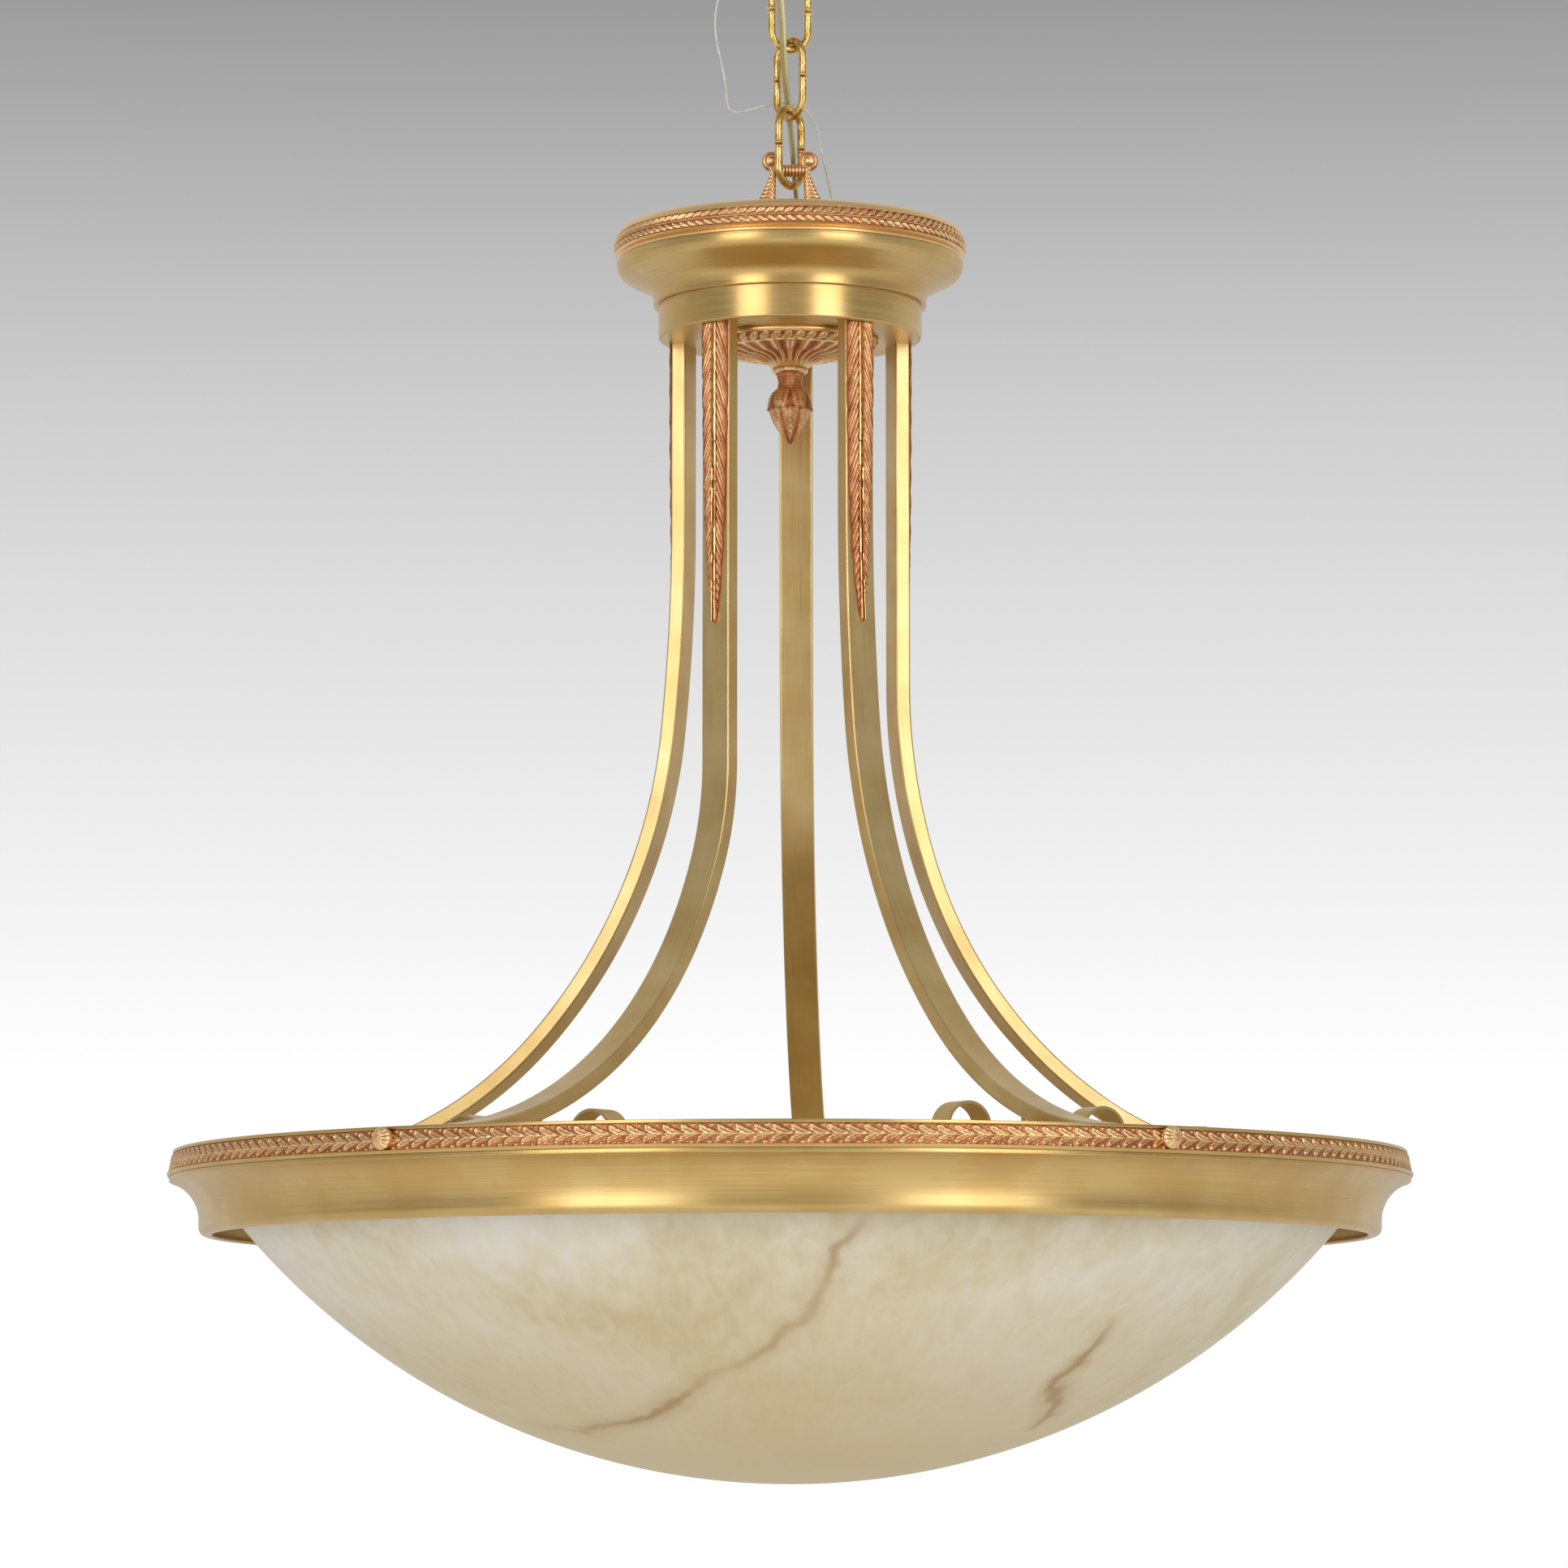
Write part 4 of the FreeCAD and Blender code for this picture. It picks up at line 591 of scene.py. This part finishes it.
# Finial: a turned neck with a rolled ring, and a cast acorn screwed on the tie tube's end. Six leaves wrap
# the acorn's cup and stand out at their tips. Six more close over the nut and meet at its point.
neck = np.concatenate([[(5.3, -33), (8.6, -33)], bow((8.6, -33), (8.1, -27.9), (9.6, -23.2), 16)[1:],
                       bow((11, -22.6), (12, -21), (11, -19.4), 10), [(5.3, -19.4)]])
ring = 0.2 + 0.6 * (neck[:, 0] > 10.5)[None] + 0.1 * np.sin(neck[:, 1] * 3)[None]
skin("finial_neck_visual", turned(neck + (0, CROWN_Z), 96), "pendant", "patinated_brass", patinated_brass,
     ["finial_neck"], relief=ring)

count = 6 * 32
u = np.linspace(0, 1, count, endpoint=False)[:, None]
nut = np.concatenate([
    [(0.05, -70), (0.8, -70)], bow((4.4, -66), (11, -57), (14.2, -48.6), 60), [(15.8, -47.6)],
    bow((15, -45.5), (13.8, -39), (8.6, -33), 60), [(0.05, -33)]])
high = nut[:, 1]


def petals(start, end, shift):
    """Six leaves between two heights: from their middle line the surface falls to the seams between them.

    The seam is the cosine of three turns, narrowed towards the tip, and side veins slant off the midrib.
    """
    t = np.clip((high - start) / (end - start), 0, 1)
    across = np.abs((u * 6 + shift) % 1 - 0.5) * 2
    width = 0.25 + 0.75 * np.sqrt(np.clip(1 - t, 0, 1))
    blade = np.clip((width - across) * 7, 0, 1)
    midrib = np.exp(-(across / 0.12) ** 2)
    veins = 0.5 + 0.5 * np.cos(2 * math.pi * (t * 7 - across * 1.6))
    return blade * (0.55 + 0.25 * veins + 0.3 * midrib) * (t > 0) * (t < 1)


leaf = np.maximum(petals(-33.5, -48.5, 0.0), petals(-46, -69, 0.5) * (high < -48.4))
outline = pressed(nut, 1.3 * (1 - leaf) * np.clip((nut[:, 0] - 1) / 5, 0, 1) * (high < -33.1))
skin("acorn_visual", turned(outline + (0, CROWN_Z), count), "pendant", "patinated_brass", patinated_brass,
     ["acorn"], wrap=(True, False), poles=True, hard=60, relief=0.1 + 0.5 * leaf)


# Arms: five flat drawn brass tubes, 22 by 10 mm, bent by hand from the crown down and out to the rim, so
# no two bend quite alike. A screw through the base plate holds the top, a stud under a knob the lower end.
ARM_AZIMUTHS = (34.5, 107.5, 176.8, 250.5, 322.5)
ARM_PLAIN = ((1330, 6), (345, 38.6), (253, 38.4))
ARM_BENDS = (
    ARM_PLAIN, ((380, 18.5), (294, 40), (201, 24.5)), ARM_PLAIN, ARM_PLAIN,
    ((180, 19.7), (286, 38.8), (307, 24.5)),
)
ARM_TOP_R, ARM_END_R, ARM_END_Z, ARM_END_SLOPE = 75.2, 396.7, -867.87, 83
ARM_HALF_WIDTH, ARM_HALF_DEPTH = 11, 5

# Drawn tube, brushed along its length and lacquered: streaks 1.2 mm wide run down the faces.
drawn_brass, tree, shader = finish_of("drawn_satin_brass", {"Metallic": 1.0})
uv_map = add(tree, "ShaderNodeUVMap")
fine = add(tree, "ShaderNodeMapping", {"Scale": (0.02, 1.7, 1)}, {0: uv_map.outputs[0]})
brushing = add(tree, "ShaderNodeTexNoise", {"Scale": 1.0, "Detail": 4.0}, {"Vector": fine.outputs[0]})
clouds = add(tree, "ShaderNodeTexNoise", {"Scale": 0.018, "Detail": 3.0}, {"Vector": uv_map.outputs[0]})
both = add(tree, "ShaderNodeMath", {1: 0.35}, {0: brushing.outputs[0], 2: clouds.outputs[0]},
           operation="MULTIPLY_ADD")
tint = add(tree, "ShaderNodeValToRGB", links={0: both.outputs[0]})
shades(tint, (0.4, "BF9D62"), (0.65, "D0B278"), (0.9, "DDC490"))
gloss = add(tree, "ShaderNodeMapRange", {1: 0.3, 2: 0.7, 3: 0.3, 4: 0.42}, {0: brushing.outputs[0]})
relief = add(tree, "ShaderNodeBump", {"Strength": 0.12, "Distance": 0.0003}, {"Height": brushing.outputs[0]})
tree.links.new(tint.outputs[0], shader.inputs["Base Color"])
tree.links.new(gloss.outputs[0], shader.inputs["Roughness"])
tree.links.new(relief.outputs[0], shader.inputs["Normal"])

tube = eased([(-ARM_HALF_WIDTH, -ARM_HALF_DEPTH), (ARM_HALF_WIDTH, -ARM_HALF_DEPTH),
              (ARM_HALF_WIDTH, ARM_HALF_DEPTH), (-ARM_HALF_WIDTH, ARM_HALF_DEPTH)], 1.2, 6)
ARM_LINES = []
for k, (azimuth, bends) in enumerate(zip(ARM_AZIMUTHS, ARM_BENDS)):
    curve = [(radius * math.radians(turn), turn) for radius, turn in bends]
    out, down = bent(curve, 1.0)[-1]
    last = (ARM_END_R - ARM_TOP_R - out) / math.sin(math.radians(ARM_END_SLOPE))
    straight = CROWN_Z - ARM_END_Z - down - last * math.cos(math.radians(ARM_END_SLOPE))
    line = bent([(straight, 0)] + curve + [(last, 0)], 3.0)
    path = np.stack([0 * line[:, 0], -ARM_TOP_R - line[:, 0], CROWN_Z - line[:, 1]], 1)
    ARM_LINES.append(path)
    grid = carried(path, np.array([[1.0, 0, 0]]), tube[None])
    skin(f"arm_{k + 1}_visual", spin(shut(grid), azimuth), "pendant", "satin_brass", drawn_brass,
         [f"arm_{k + 1}"], wrap=(False, True), poles=True)


# Leaves: long cast acanthus leaves pinned to the outer faces of the bars, from the crown down. Each has
# nine pairs of lobes that narrow to the tip, a grooved double rib and fine veins out to the lobes.
LEAF_LENGTH, LEAF_LOBES, LEAF_HALF, LEAF_VEINS = 198.0, 9, 11.0, 3
LEAF_BACK, LEAF_FRONT, LEAF_RELIEF = 5.1, 5.5, 2.5
run = np.linspace(0.3, LEAF_LENGTH, 300)[:, None]
across = np.linspace(-1, 1, 45)[None]
lobe = run / LEAF_LENGTH * (LEAF_LOBES + 0.75)
notch = np.abs(np.sin(math.pi * (lobe + 0.12))) ** 0.5
way = run / (LEAF_LENGTH + 0.5)
half = LEAF_HALF * (1 - way ** 2.2) ** 0.6 * (1 - (0.06 + 0.14 * way) * (1 - notch))
off = np.abs(across) * half
rib = np.exp(-((off - 1.05) / 0.6) ** 2) - 0.45 * np.exp(-(off / 0.4) ** 2)
slope = lobe - 0.09 * off - 0.0045 * off ** 2
lobes = np.abs(np.sin(math.pi * (slope + 0.12))) ** 0.6
veins = 0.5 + 0.5 * np.cos(2 * math.pi * LEAF_VEINS * slope)
edge = np.abs(across) ** 1.5
swell = np.clip(1 - np.abs(across) ** 5, 0, 1) ** 0.5
blade = swell * (0.78 - 0.5 * edge * (1 - lobes) - 0.34 * (1 - veins)) * np.clip((off - 1.6) / 0.8, 0.3, 1)
height = np.clip(np.maximum(blade, rib), 0, 1)
front = np.stack([across * half, LEAF_FRONT + LEAF_RELIEF * height], -1)
back = np.stack([-across[:, ::4] * half, np.full(height[:, ::4].shape, LEAF_BACK)], -1)
section = np.concatenate([front, back], 1)
relief = np.concatenate([1.3 * height - 0.4, np.full(height[:, ::4].shape, 0.2)], 1)
for k, (azimuth, path) in enumerate(zip(ARM_AZIMUTHS, ARM_LINES)):
    down = np.concatenate([[0], np.cumsum(np.linalg.norm(np.diff(path, axis=0), axis=1))])
    stem = np.stack([np.interp(run[:, 0], down, path[:, axis]) for axis in range(3)], 1)
    grid = carried(stem, np.array([[1.0, 0, 0]]), section)
    skin(f"arm_leaf_{k + 1}_visual", spin(shut(grid), azimuth), "pendant", "patinated_brass", patinated_brass,
         [f"arm_leaf_{k + 1}"], wrap=(False, True), poles=True, hard=60, relief=shut(relief))


# Rim: a turned ring with a thin lip above and a fillet below, which hold a cast laurel band between them.
# Under it a wide skirt is spun from 2 mm sheet, hollow outside, and rolled in at its lower edge.
RIM_Z = -860.35
RIM_LEAVES, LEAF_COLUMNS = 230, 14
RIM_STEPS = 320
outline = [(397.5, 0), (397.5, -15), (386, -15), (386, -17), (405.7, -17), (406.5, -14.6), (403.4, -14.6),
           (401, -2.2), (402.5, -2.2), (402.5, 0)]
skin("rim_ring_visual", turned(eased(outline, 0.7, 4) + (0, RIM_Z), RIM_STEPS), "pendant", "satin_brass",
     spun_brass, ["rim_top_ring"])


def laurel(x, y, long, high, wide):
    """Height of one laurel leaf, drawn as a raised loop about a sunken middle.

    x runs from the leaf's round head to its tip and y across. The middle line falls to y = 0 by a power
    of the way still to go, and the loop is a Gaussian of the distance from it, in widths of the leaf.
    """
    left = np.clip(1 - x / long, 0, 1)
    width = wide * left ** 0.5 + 0.3
    off = np.abs(y - high * left ** 1.6) / width
    out = np.sqrt(off ** 2 + (np.clip(1.2 * wide - x, 0, None) / wide / 1.2) ** 2)
    loop = np.exp(-((out - 0.75) / 0.27) ** 2) + 0.3 * (out < 0.75)
    return loop * (x > -0.5) * (x < long)


count = RIM_LEAVES * LEAF_COLUMNS
pitch = 2 * math.pi * 404.3 / RIM_LEAVES
face = np.linspace((405.55, -14.45), (403.15, -2.35), 26)
y = (face[:, 1] + 8.4)[None]
x = (np.arange(LEAF_COLUMNS) / LEAF_COLUMNS * pitch)[:, None]
height = 0.6 * np.exp(-(y / 0.45) ** 2) + 0 * x
for shift in (-pitch, 0, pitch):
    height = np.maximum(height, laurel(x - shift, y - 0.1, 12.4, 4.3, 1.9))
    height = np.maximum(height, 0.92 * laurel(x - shift + 0.6, -y - 0.1, 11.0, 4.2, 1.75))
    for berry_x, berry_y in ((8.2, 5.0), (7.2, -5.0)):
        height = np.maximum(height, np.exp(-((x - shift - berry_x) ** 2 + (y - berry_y) ** 2) / 0.4))
height = np.tile(np.clip(height, 0, 1), (RIM_LEAVES, 1))
height[:, 0] = height[:, -1] = 0.2
back = np.array([(401.15, -2.35), (403.55, -14.45)])
outline = np.concatenate([pressed(face, 1.3 * (1 - height)), np.broadcast_to(back, (count, 2, 2))], 1)
relief = np.concatenate([0.05 + 0.85 * height, np.full((count, 2), 0.3)], 1)
skin("rim_laurel_visual", turned(outline + (0, RIM_Z), count), "pendant", "patinated_brass", patinated_brass,
     ["rim_ornament_band"], hard=75, relief=relief)

outline = np.concatenate([
    [(386, -17), (386, -17.8), (401.8, -17.8)],
    bow((401.8, -17.8), (388.92, -28.45), (383.5, -44), 10)[1:], [(383.5, -49.9)],
    bow((383.5, -49.9), (382.7, -51.9), (380.7, -52.7), 4)[1:], [(376.8, -52.7), (376.8, -54.7)],
    bow((380.7, -54.7), (384.1, -53.3), (385.5, -49.9), 6),
    bow((385.5, -44), (390.37, -29.9), (404.8, -19.7), 13), [(404.8, -17)]])
skin("rim_skirt_visual", turned(eased(outline, 0.6, 3) + (0, RIM_Z), RIM_STEPS), "pendant", "satin_brass",
     spun_brass, ["rim_skirt"])

# Knobs: five small fluted domes, each screwed from outside on the stud that comes through the rim.
turn = np.linspace(0, 2 * math.pi, 96, endpoint=False)[None]
dome = np.linspace(6.75, 0, 26)
reach = np.concatenate([[0, 6.3, 6.3, 6.9, 6.9], dome])[:, None]
out = np.concatenate([[-1.9, -1.9, 0, 0, 1.9], np.sqrt(7.935 ** 2 - dome ** 2) - 1.935])[:, None]
scallops = np.abs(np.cos(6 * turn)) ** 0.5
fluted = (reach > 2) * (reach < 6.85) * (out > 0.5)
button = np.exp(-((reach - 2.0) / 0.3) ** 2)
reach_in = reach - 0.35 * (1 - scallops) * fluted
proud = out - (0.75 * (1 - scallops) * np.clip((reach - 2) / 2, 0, 1) + 0.3 * button) * (out > 0.5)
knob = np.stack([reach_in * np.cos(turn), -405.7 - proud, ARM_END_Z + reach_in * np.sin(turn)], -1)
relief = 0.25 + 0.6 * np.where(fluted, scallops, 0.5) - 0.3 * button
for k, azimuth in enumerate(ARM_AZIMUTHS):
    skin(f"rim_knob_{k + 1}_visual", spin(knob, azimuth), "pendant", "patinated_brass", patinated_brass,
         ["rim_knobs"], wrap=(False, True), poles=True, hard=60, relief=relief)


# Bowl: a shallow dome turned from a block of alabaster, 10 mm thick, with a ground flange round its mouth.
# It rests on a soft seat on the hidden ring that ten screws pull up into the rim.
BOWL_Z, BOWL_R, BOWL_WALL, POLE = -607.4, 467.9, 10.0, 0.0004
turn = np.linspace(POLE, math.asin(372.66 / BOWL_R), 78)
outside = BOWL_R * np.stack([np.sin(turn), -np.cos(turn)], 1)
turn = np.linspace(math.asin(366.2 / 457.9), POLE, 40)
inside = (BOWL_R - BOWL_WALL) * np.stack([np.sin(turn), -np.cos(turn)], 1)
flange = [(380.4, -282.95), (381, -282.35), (381, -275.55), (380.4, -274.95)]
shell = np.concatenate([outside, flange, inside])
grid = turned(shell + (0, BOWL_Z), 480)

# Veins are drawn on the dome rolled flat about its lowest point, in millimetres. Each is a value of the
# points: how far a point is to one side of the vein's line, and how much of the vein is left there.
VEINS = (
    ((57, -408), (43, -382), (30, -358), (20, -343), (8, -318), (-18, -286), (-49, -247), (-70, -214),
     (-91, -178), (-118, -138), (-150, -96), (-176, -75)),
    ((219, -236), (204, -212), (194, -203), (188, -186), (179, -173), (175, -148), (171, -110),
     (160, -80)),
    ((-240, 60), (-190, 120), (-110, 150), (-40, 215), (60, 240), (120, 300), (210, 330)),
)
VEIN_WAVER, VEIN_FADE = 17, 25
polar = np.arctan2(np.hypot(grid[..., 0], grid[..., 1]), BOWL_Z - grid[..., 2]) * BOWL_R
turn = np.arctan2(grid[..., 1], grid[..., 0])
rolled = np.stack([polar * np.cos(turn), polar * np.sin(turn)], -1)
aside, left = [], []
for vein in VEINS:
    points = np.array(vein, float)
    ahead = (points[-1] - points[0]) / np.linalg.norm(points[-1] - points[0])
    frame_of = np.stack([ahead, [-ahead[1], ahead[0]]], 1)
    line, place = points @ frame_of, rolled @ frame_of
    aside.append(place[..., 1] - np.interp(place[..., 0], line[:, 0], line[:, 1]))
    beyond = np.maximum(line[0, 0] - place[..., 0], place[..., 0] - line[-1, 0])
    left.append(np.clip(-beyond / VEIN_FADE, 0, 1))

alabaster, tree, shader = finish_of("polished_alabaster", {
    "Roughness": 0.42, "IOR": 1.53, "Subsurface Weight": 0.12, "Subsurface Radius": (0.02, 0.014, 0.008),
    "Specular IOR Level": 0.35})
place = add(tree, "ShaderNodeTexCoord").outputs["Object"]
# Clouds of paler and greener stone about 125 mm across, broken into flecks of 14 by 20 mm.
clouds = add(tree, "ShaderNodeTexNoise", {"Scale": 8.0, "Detail": 3.0, "Distortion": 0.5}, {"Vector": place})
uv_map = add(tree, "ShaderNodeUVMap")
grain = add(tree, "ShaderNodeMapping", {"Scale": (0.07, 0.05, 1)}, {0: uv_map.outputs[0]})
flecks = add(tree, "ShaderNodeTexNoise", {"Scale": 1.0, "Detail": 4.0, "Roughness": 0.55, "Distortion": 0.5},
             {"Vector": grain.outputs[0]})
both = add(tree, "ShaderNodeMath", {1: 0.5}, {0: flecks.outputs[0], 2: clouds.outputs[0]},
           operation="MULTIPLY_ADD")
tint = add(tree, "ShaderNodeValToRGB", links={0: both.outputs[0]})
shades(tint, (0.48, "DDCEA5"), (0.7, "EEE2C5"), (0.85, "F5ECD8"), (1.0, "FAF4E8"))
# The veins waver by up to VEIN_WAVER either way, and fade over 7 mm at the heart and 20 mm in the halo.
waver = add(tree, "ShaderNodeTexNoise", {"Scale": 26.0, "Detail": 4.0}, {"Vector": place})
aside_of = add(tree, "ShaderNodeAttribute", attribute_name="aside")
left_of = add(tree, "ShaderNodeAttribute", attribute_name="left")
shift = add(tree, "ShaderNodeVectorMath", {1: (-0.5, -0.5, -0.5)}, {0: waver.outputs["Color"]},
            operation="ADD")
moved = add(tree, "ShaderNodeVectorMath", {1: (2 * VEIN_WAVER,) * 3},
            {0: shift.outputs[0], 2: aside_of.outputs["Vector"]}, operation="MULTIPLY_ADD")
apart = add(tree, "ShaderNodeVectorMath", links={0: moved.outputs[0]}, operation="ABSOLUTE")
# Painted shade: towards its lowest point, where less light falls, the stone's colour is mixed towards a
# darker yellow.
depth_of = add(tree, "ShaderNodeSeparateXYZ", links={0: place})
painted_bottom_shade = add(tree, "ShaderNodeMapRange", {1: -0.93, 2: -1.06, 4: 0.85}, {0: depth_of.outputs[2]})
bottom_shaded = add(tree, "ShaderNodeMix", {7: linear("DBC288")}, {0: painted_bottom_shade.outputs[0], 6: tint.outputs[0]},
             data_type="RGBA")
veined_and_shaded = bottom_shaded.outputs[2]
patchy = add(tree, "ShaderNodeMapRange", {1: 0.36, 2: 0.6, 3: 0.1}, {0: clouds.outputs[0]})
for width, colour, most in ((20, "CBAE74", 0.6), (7, "B1854B", 0.75)):
    edge = add(tree, "ShaderNodeMapRange", {7: (0, 0, 0), 8: (width,) * 3, 9: (1, 1, 1), 10: (0, 0, 0)},
               {6: apart.outputs[0]}, data_type="FLOAT_VECTOR", interpolation_type="SMOOTHSTEP")
    amount = add(tree, "ShaderNodeVectorMath", links={0: edge.outputs[1], 1: left_of.outputs["Vector"]},
                 operation="DOT_PRODUCT")
    uneven = add(tree, "ShaderNodeMath", links={0: amount.outputs["Value"], 1: patchy.outputs[0]},
                 operation="MULTIPLY")
    share = add(tree, "ShaderNodeMath", {1: most}, {0: uneven.outputs[0]}, operation="MULTIPLY",
                use_clamp=True)
    stain = add(tree, "ShaderNodeMix", {7: linear(colour)}, {0: share.outputs[0], 6: veined_and_shaded},
                data_type="RGBA")
    veined_and_shaded = stain.outputs[2]
tree.links.new(veined_and_shaded, shader.inputs["Base Color"])
skin("bowl_visual", grid, "pendant", "alabaster", alabaster, ["bowl"], wrap=(True, False), poles=True,
     hard=50, aside=np.stack(aside, -1), left=np.stack(left, -1))

# Seat of the bowl: a soft pale felt ring glued under the stone's flange.
felt, tree, shader = finish_of("wool_felt", {"Roughness": 0.95})
place = add(tree, "ShaderNodeTexCoord").outputs["Object"]
fibres = add(tree, "ShaderNodeTexNoise", {"Scale": 900.0, "Detail": 4.0}, {"Vector": place})
tint = add(tree, "ShaderNodeValToRGB", links={0: fibres.outputs[0]})
shades(tint, (0.3, "8E8772"), (0.7, "B5AE98"))
nap = add(tree, "ShaderNodeBump", {"Strength": 0.4, "Distance": 0.0005}, {"Height": fibres.outputs[0]})
tree.links.new(tint.outputs[0], shader.inputs["Base Color"])
tree.links.new(nap.outputs[0], shader.inputs["Normal"])
dress(felt, "bowl_gasket")


# Lamps: straps and posts of brass strip and rod stand on the bars' ends inside the bowl, two lamps at each.
# The lampholders have spun shells and moulded inserts, and the lamps are frosted inside.
dress(drawn_brass, "lamp_posts", "lamp_brackets")
frosted_glass, tree, shader = finish_of("frosted_lamp_glass", {
    "Roughness": 0.42, "IOR": 1.5, "Transmission Weight": 0.35, "Coat Weight": 0.2})
place = add(tree, "ShaderNodeTexCoord").outputs["Object"]
coating = add(tree, "ShaderNodeTexNoise", {"Scale": 60.0, "Detail": 4.0}, {"Vector": place})
tint = add(tree, "ShaderNodeValToRGB", links={0: coating.outputs[0]})
shades(tint, (0.3, "E2E0D8"), (0.7, "F4F3EE"))
tree.links.new(tint.outputs[0], shader.inputs["Base Color"])
dress(frosted_glass, "bulb_globes")

# Moulded phenolic and nylon: cream, slightly mottled, with a satin skin.
moulded, tree, shader = finish_of("moulded_insulator", {"Roughness": 0.4, "IOR": 1.52})
place = add(tree, "ShaderNodeTexCoord").outputs["Object"]
flow = add(tree, "ShaderNodeTexNoise", {"Scale": 140.0, "Detail": 3.0, "Distortion": 0.6}, {"Vector": place})
tint = add(tree, "ShaderNodeValToRGB", links={0: flow.outputs[0]})
shades(tint, (0.3, "CFC8B4"), (0.7, "E4DFD0"))
tree.links.new(tint.outputs[0], shader.inputs["Base Color"])
dress(moulded, "lampholder_inserts", "terminal_block", "cord_bushing")


# Studio: a pale floor below the lamp, a soft light on each side of the camera and a pale room behind.
# The room fades from white near the floor to grey overhead, as the photograph's backdrop does.
FLOOR_R, FLOOR_Z, FLOOR_LIFT = 24.0, -1.9, 0.17
PANEL_SIZE, PANEL_WATTS, PANEL_PLACE, PANEL_TILT, PANEL_TURN = (1.7, 2.6), 44.0, (2.2, -3.4, 0.25), 78, 32
bpy.ops.mesh.primitive_circle_add(vertices=96, radius=FLOOR_R, fill_type="NGON", location=(0, 0, FLOOR_Z))
floor = bpy.context.object
floor.name = "floor"
plaster, tree, shader = finish_of("matt_floor", {"Base Color": linear("F2F2F0"), "Roughness": 0.9})
# The camera and the metal see the floor a little lighter than the lights make it.
seen = add(tree, "ShaderNodeLightPath")
either = add(tree, "ShaderNodeMath", operation="MAXIMUM",
             links={0: seen.outputs["Is Camera Ray"], 1: seen.outputs["Is Glossy Ray"]})
lift = add(tree, "ShaderNodeMath", {1: FLOOR_LIFT}, {0: either.outputs[0]}, operation="MULTIPLY")
tree.links.new(lift.outputs[0], shader.inputs["Emission Strength"])
shader.inputs["Emission Color"].default_value = linear("FFFFFF")
floor.data.materials.append(plaster)

for side in (-1, 1):
    panel = bpy.data.objects.new("soft_light", bpy.data.lights.new("soft_light", "AREA"))
    bpy.context.scene.collection.objects.link(panel)
    panel.data.shape = "RECTANGLE"
    panel.data.size, panel.data.size_y = PANEL_SIZE
    panel.data.energy = PANEL_WATTS
    panel.location = (side * PANEL_PLACE[0], *PANEL_PLACE[1:])
    panel.rotation_euler = (math.radians(PANEL_TILT), 0, side * math.radians(PANEL_TURN))

room = bpy.data.worlds.new("room")
bpy.context.scene.world = room
room.use_nodes = True
tree = room.node_tree
tree.nodes.clear()
where = add(tree, "ShaderNodeTexCoord")
split = add(tree, "ShaderNodeSeparateXYZ", links={0: where.outputs["Generated"]})
rise = add(tree, "ShaderNodeMapRange", {1: 0.0, 2: 0.23}, {0: split.outputs[2]})
fade = add(tree, "ShaderNodeValToRGB", links={0: rise.outputs[0]})
shades(fade, (0.28, "FFFFFF"), (0.42, "F0F0F0"), (0.6, "DDDDDD"), (0.74, "CBCBCB"), (0.88, "B2B2B2"),
       (1.0, "999999"))
behind = add(tree, "ShaderNodeMapRange", {1: -1.0, 2: 1.0}, {0: split.outputs[1]})
depth = add(tree, "ShaderNodeValToRGB", links={0: behind.outputs[0]})
shades(depth, (0.0, "CBCBCB"), (0.12, "CBCBCB"), (0.27, "A6A6A6"), (0.8, "EDEDED"))
around = add(tree, "ShaderNodeBackground", links={"Strength": depth.outputs[0]})
backdrop = add(tree, "ShaderNodeBackground", links={"Color": fade.outputs[0]})
seen = add(tree, "ShaderNodeLightPath")
choice = add(tree, "ShaderNodeMixShader",
             links={0: seen.outputs["Is Camera Ray"], 1: around.outputs[0], 2: backdrop.outputs[0]})
add(tree, "ShaderNodeOutputWorld", links={0: choice.outputs[0]})
bpy.context.scene.view_settings.view_transform = "Standard"
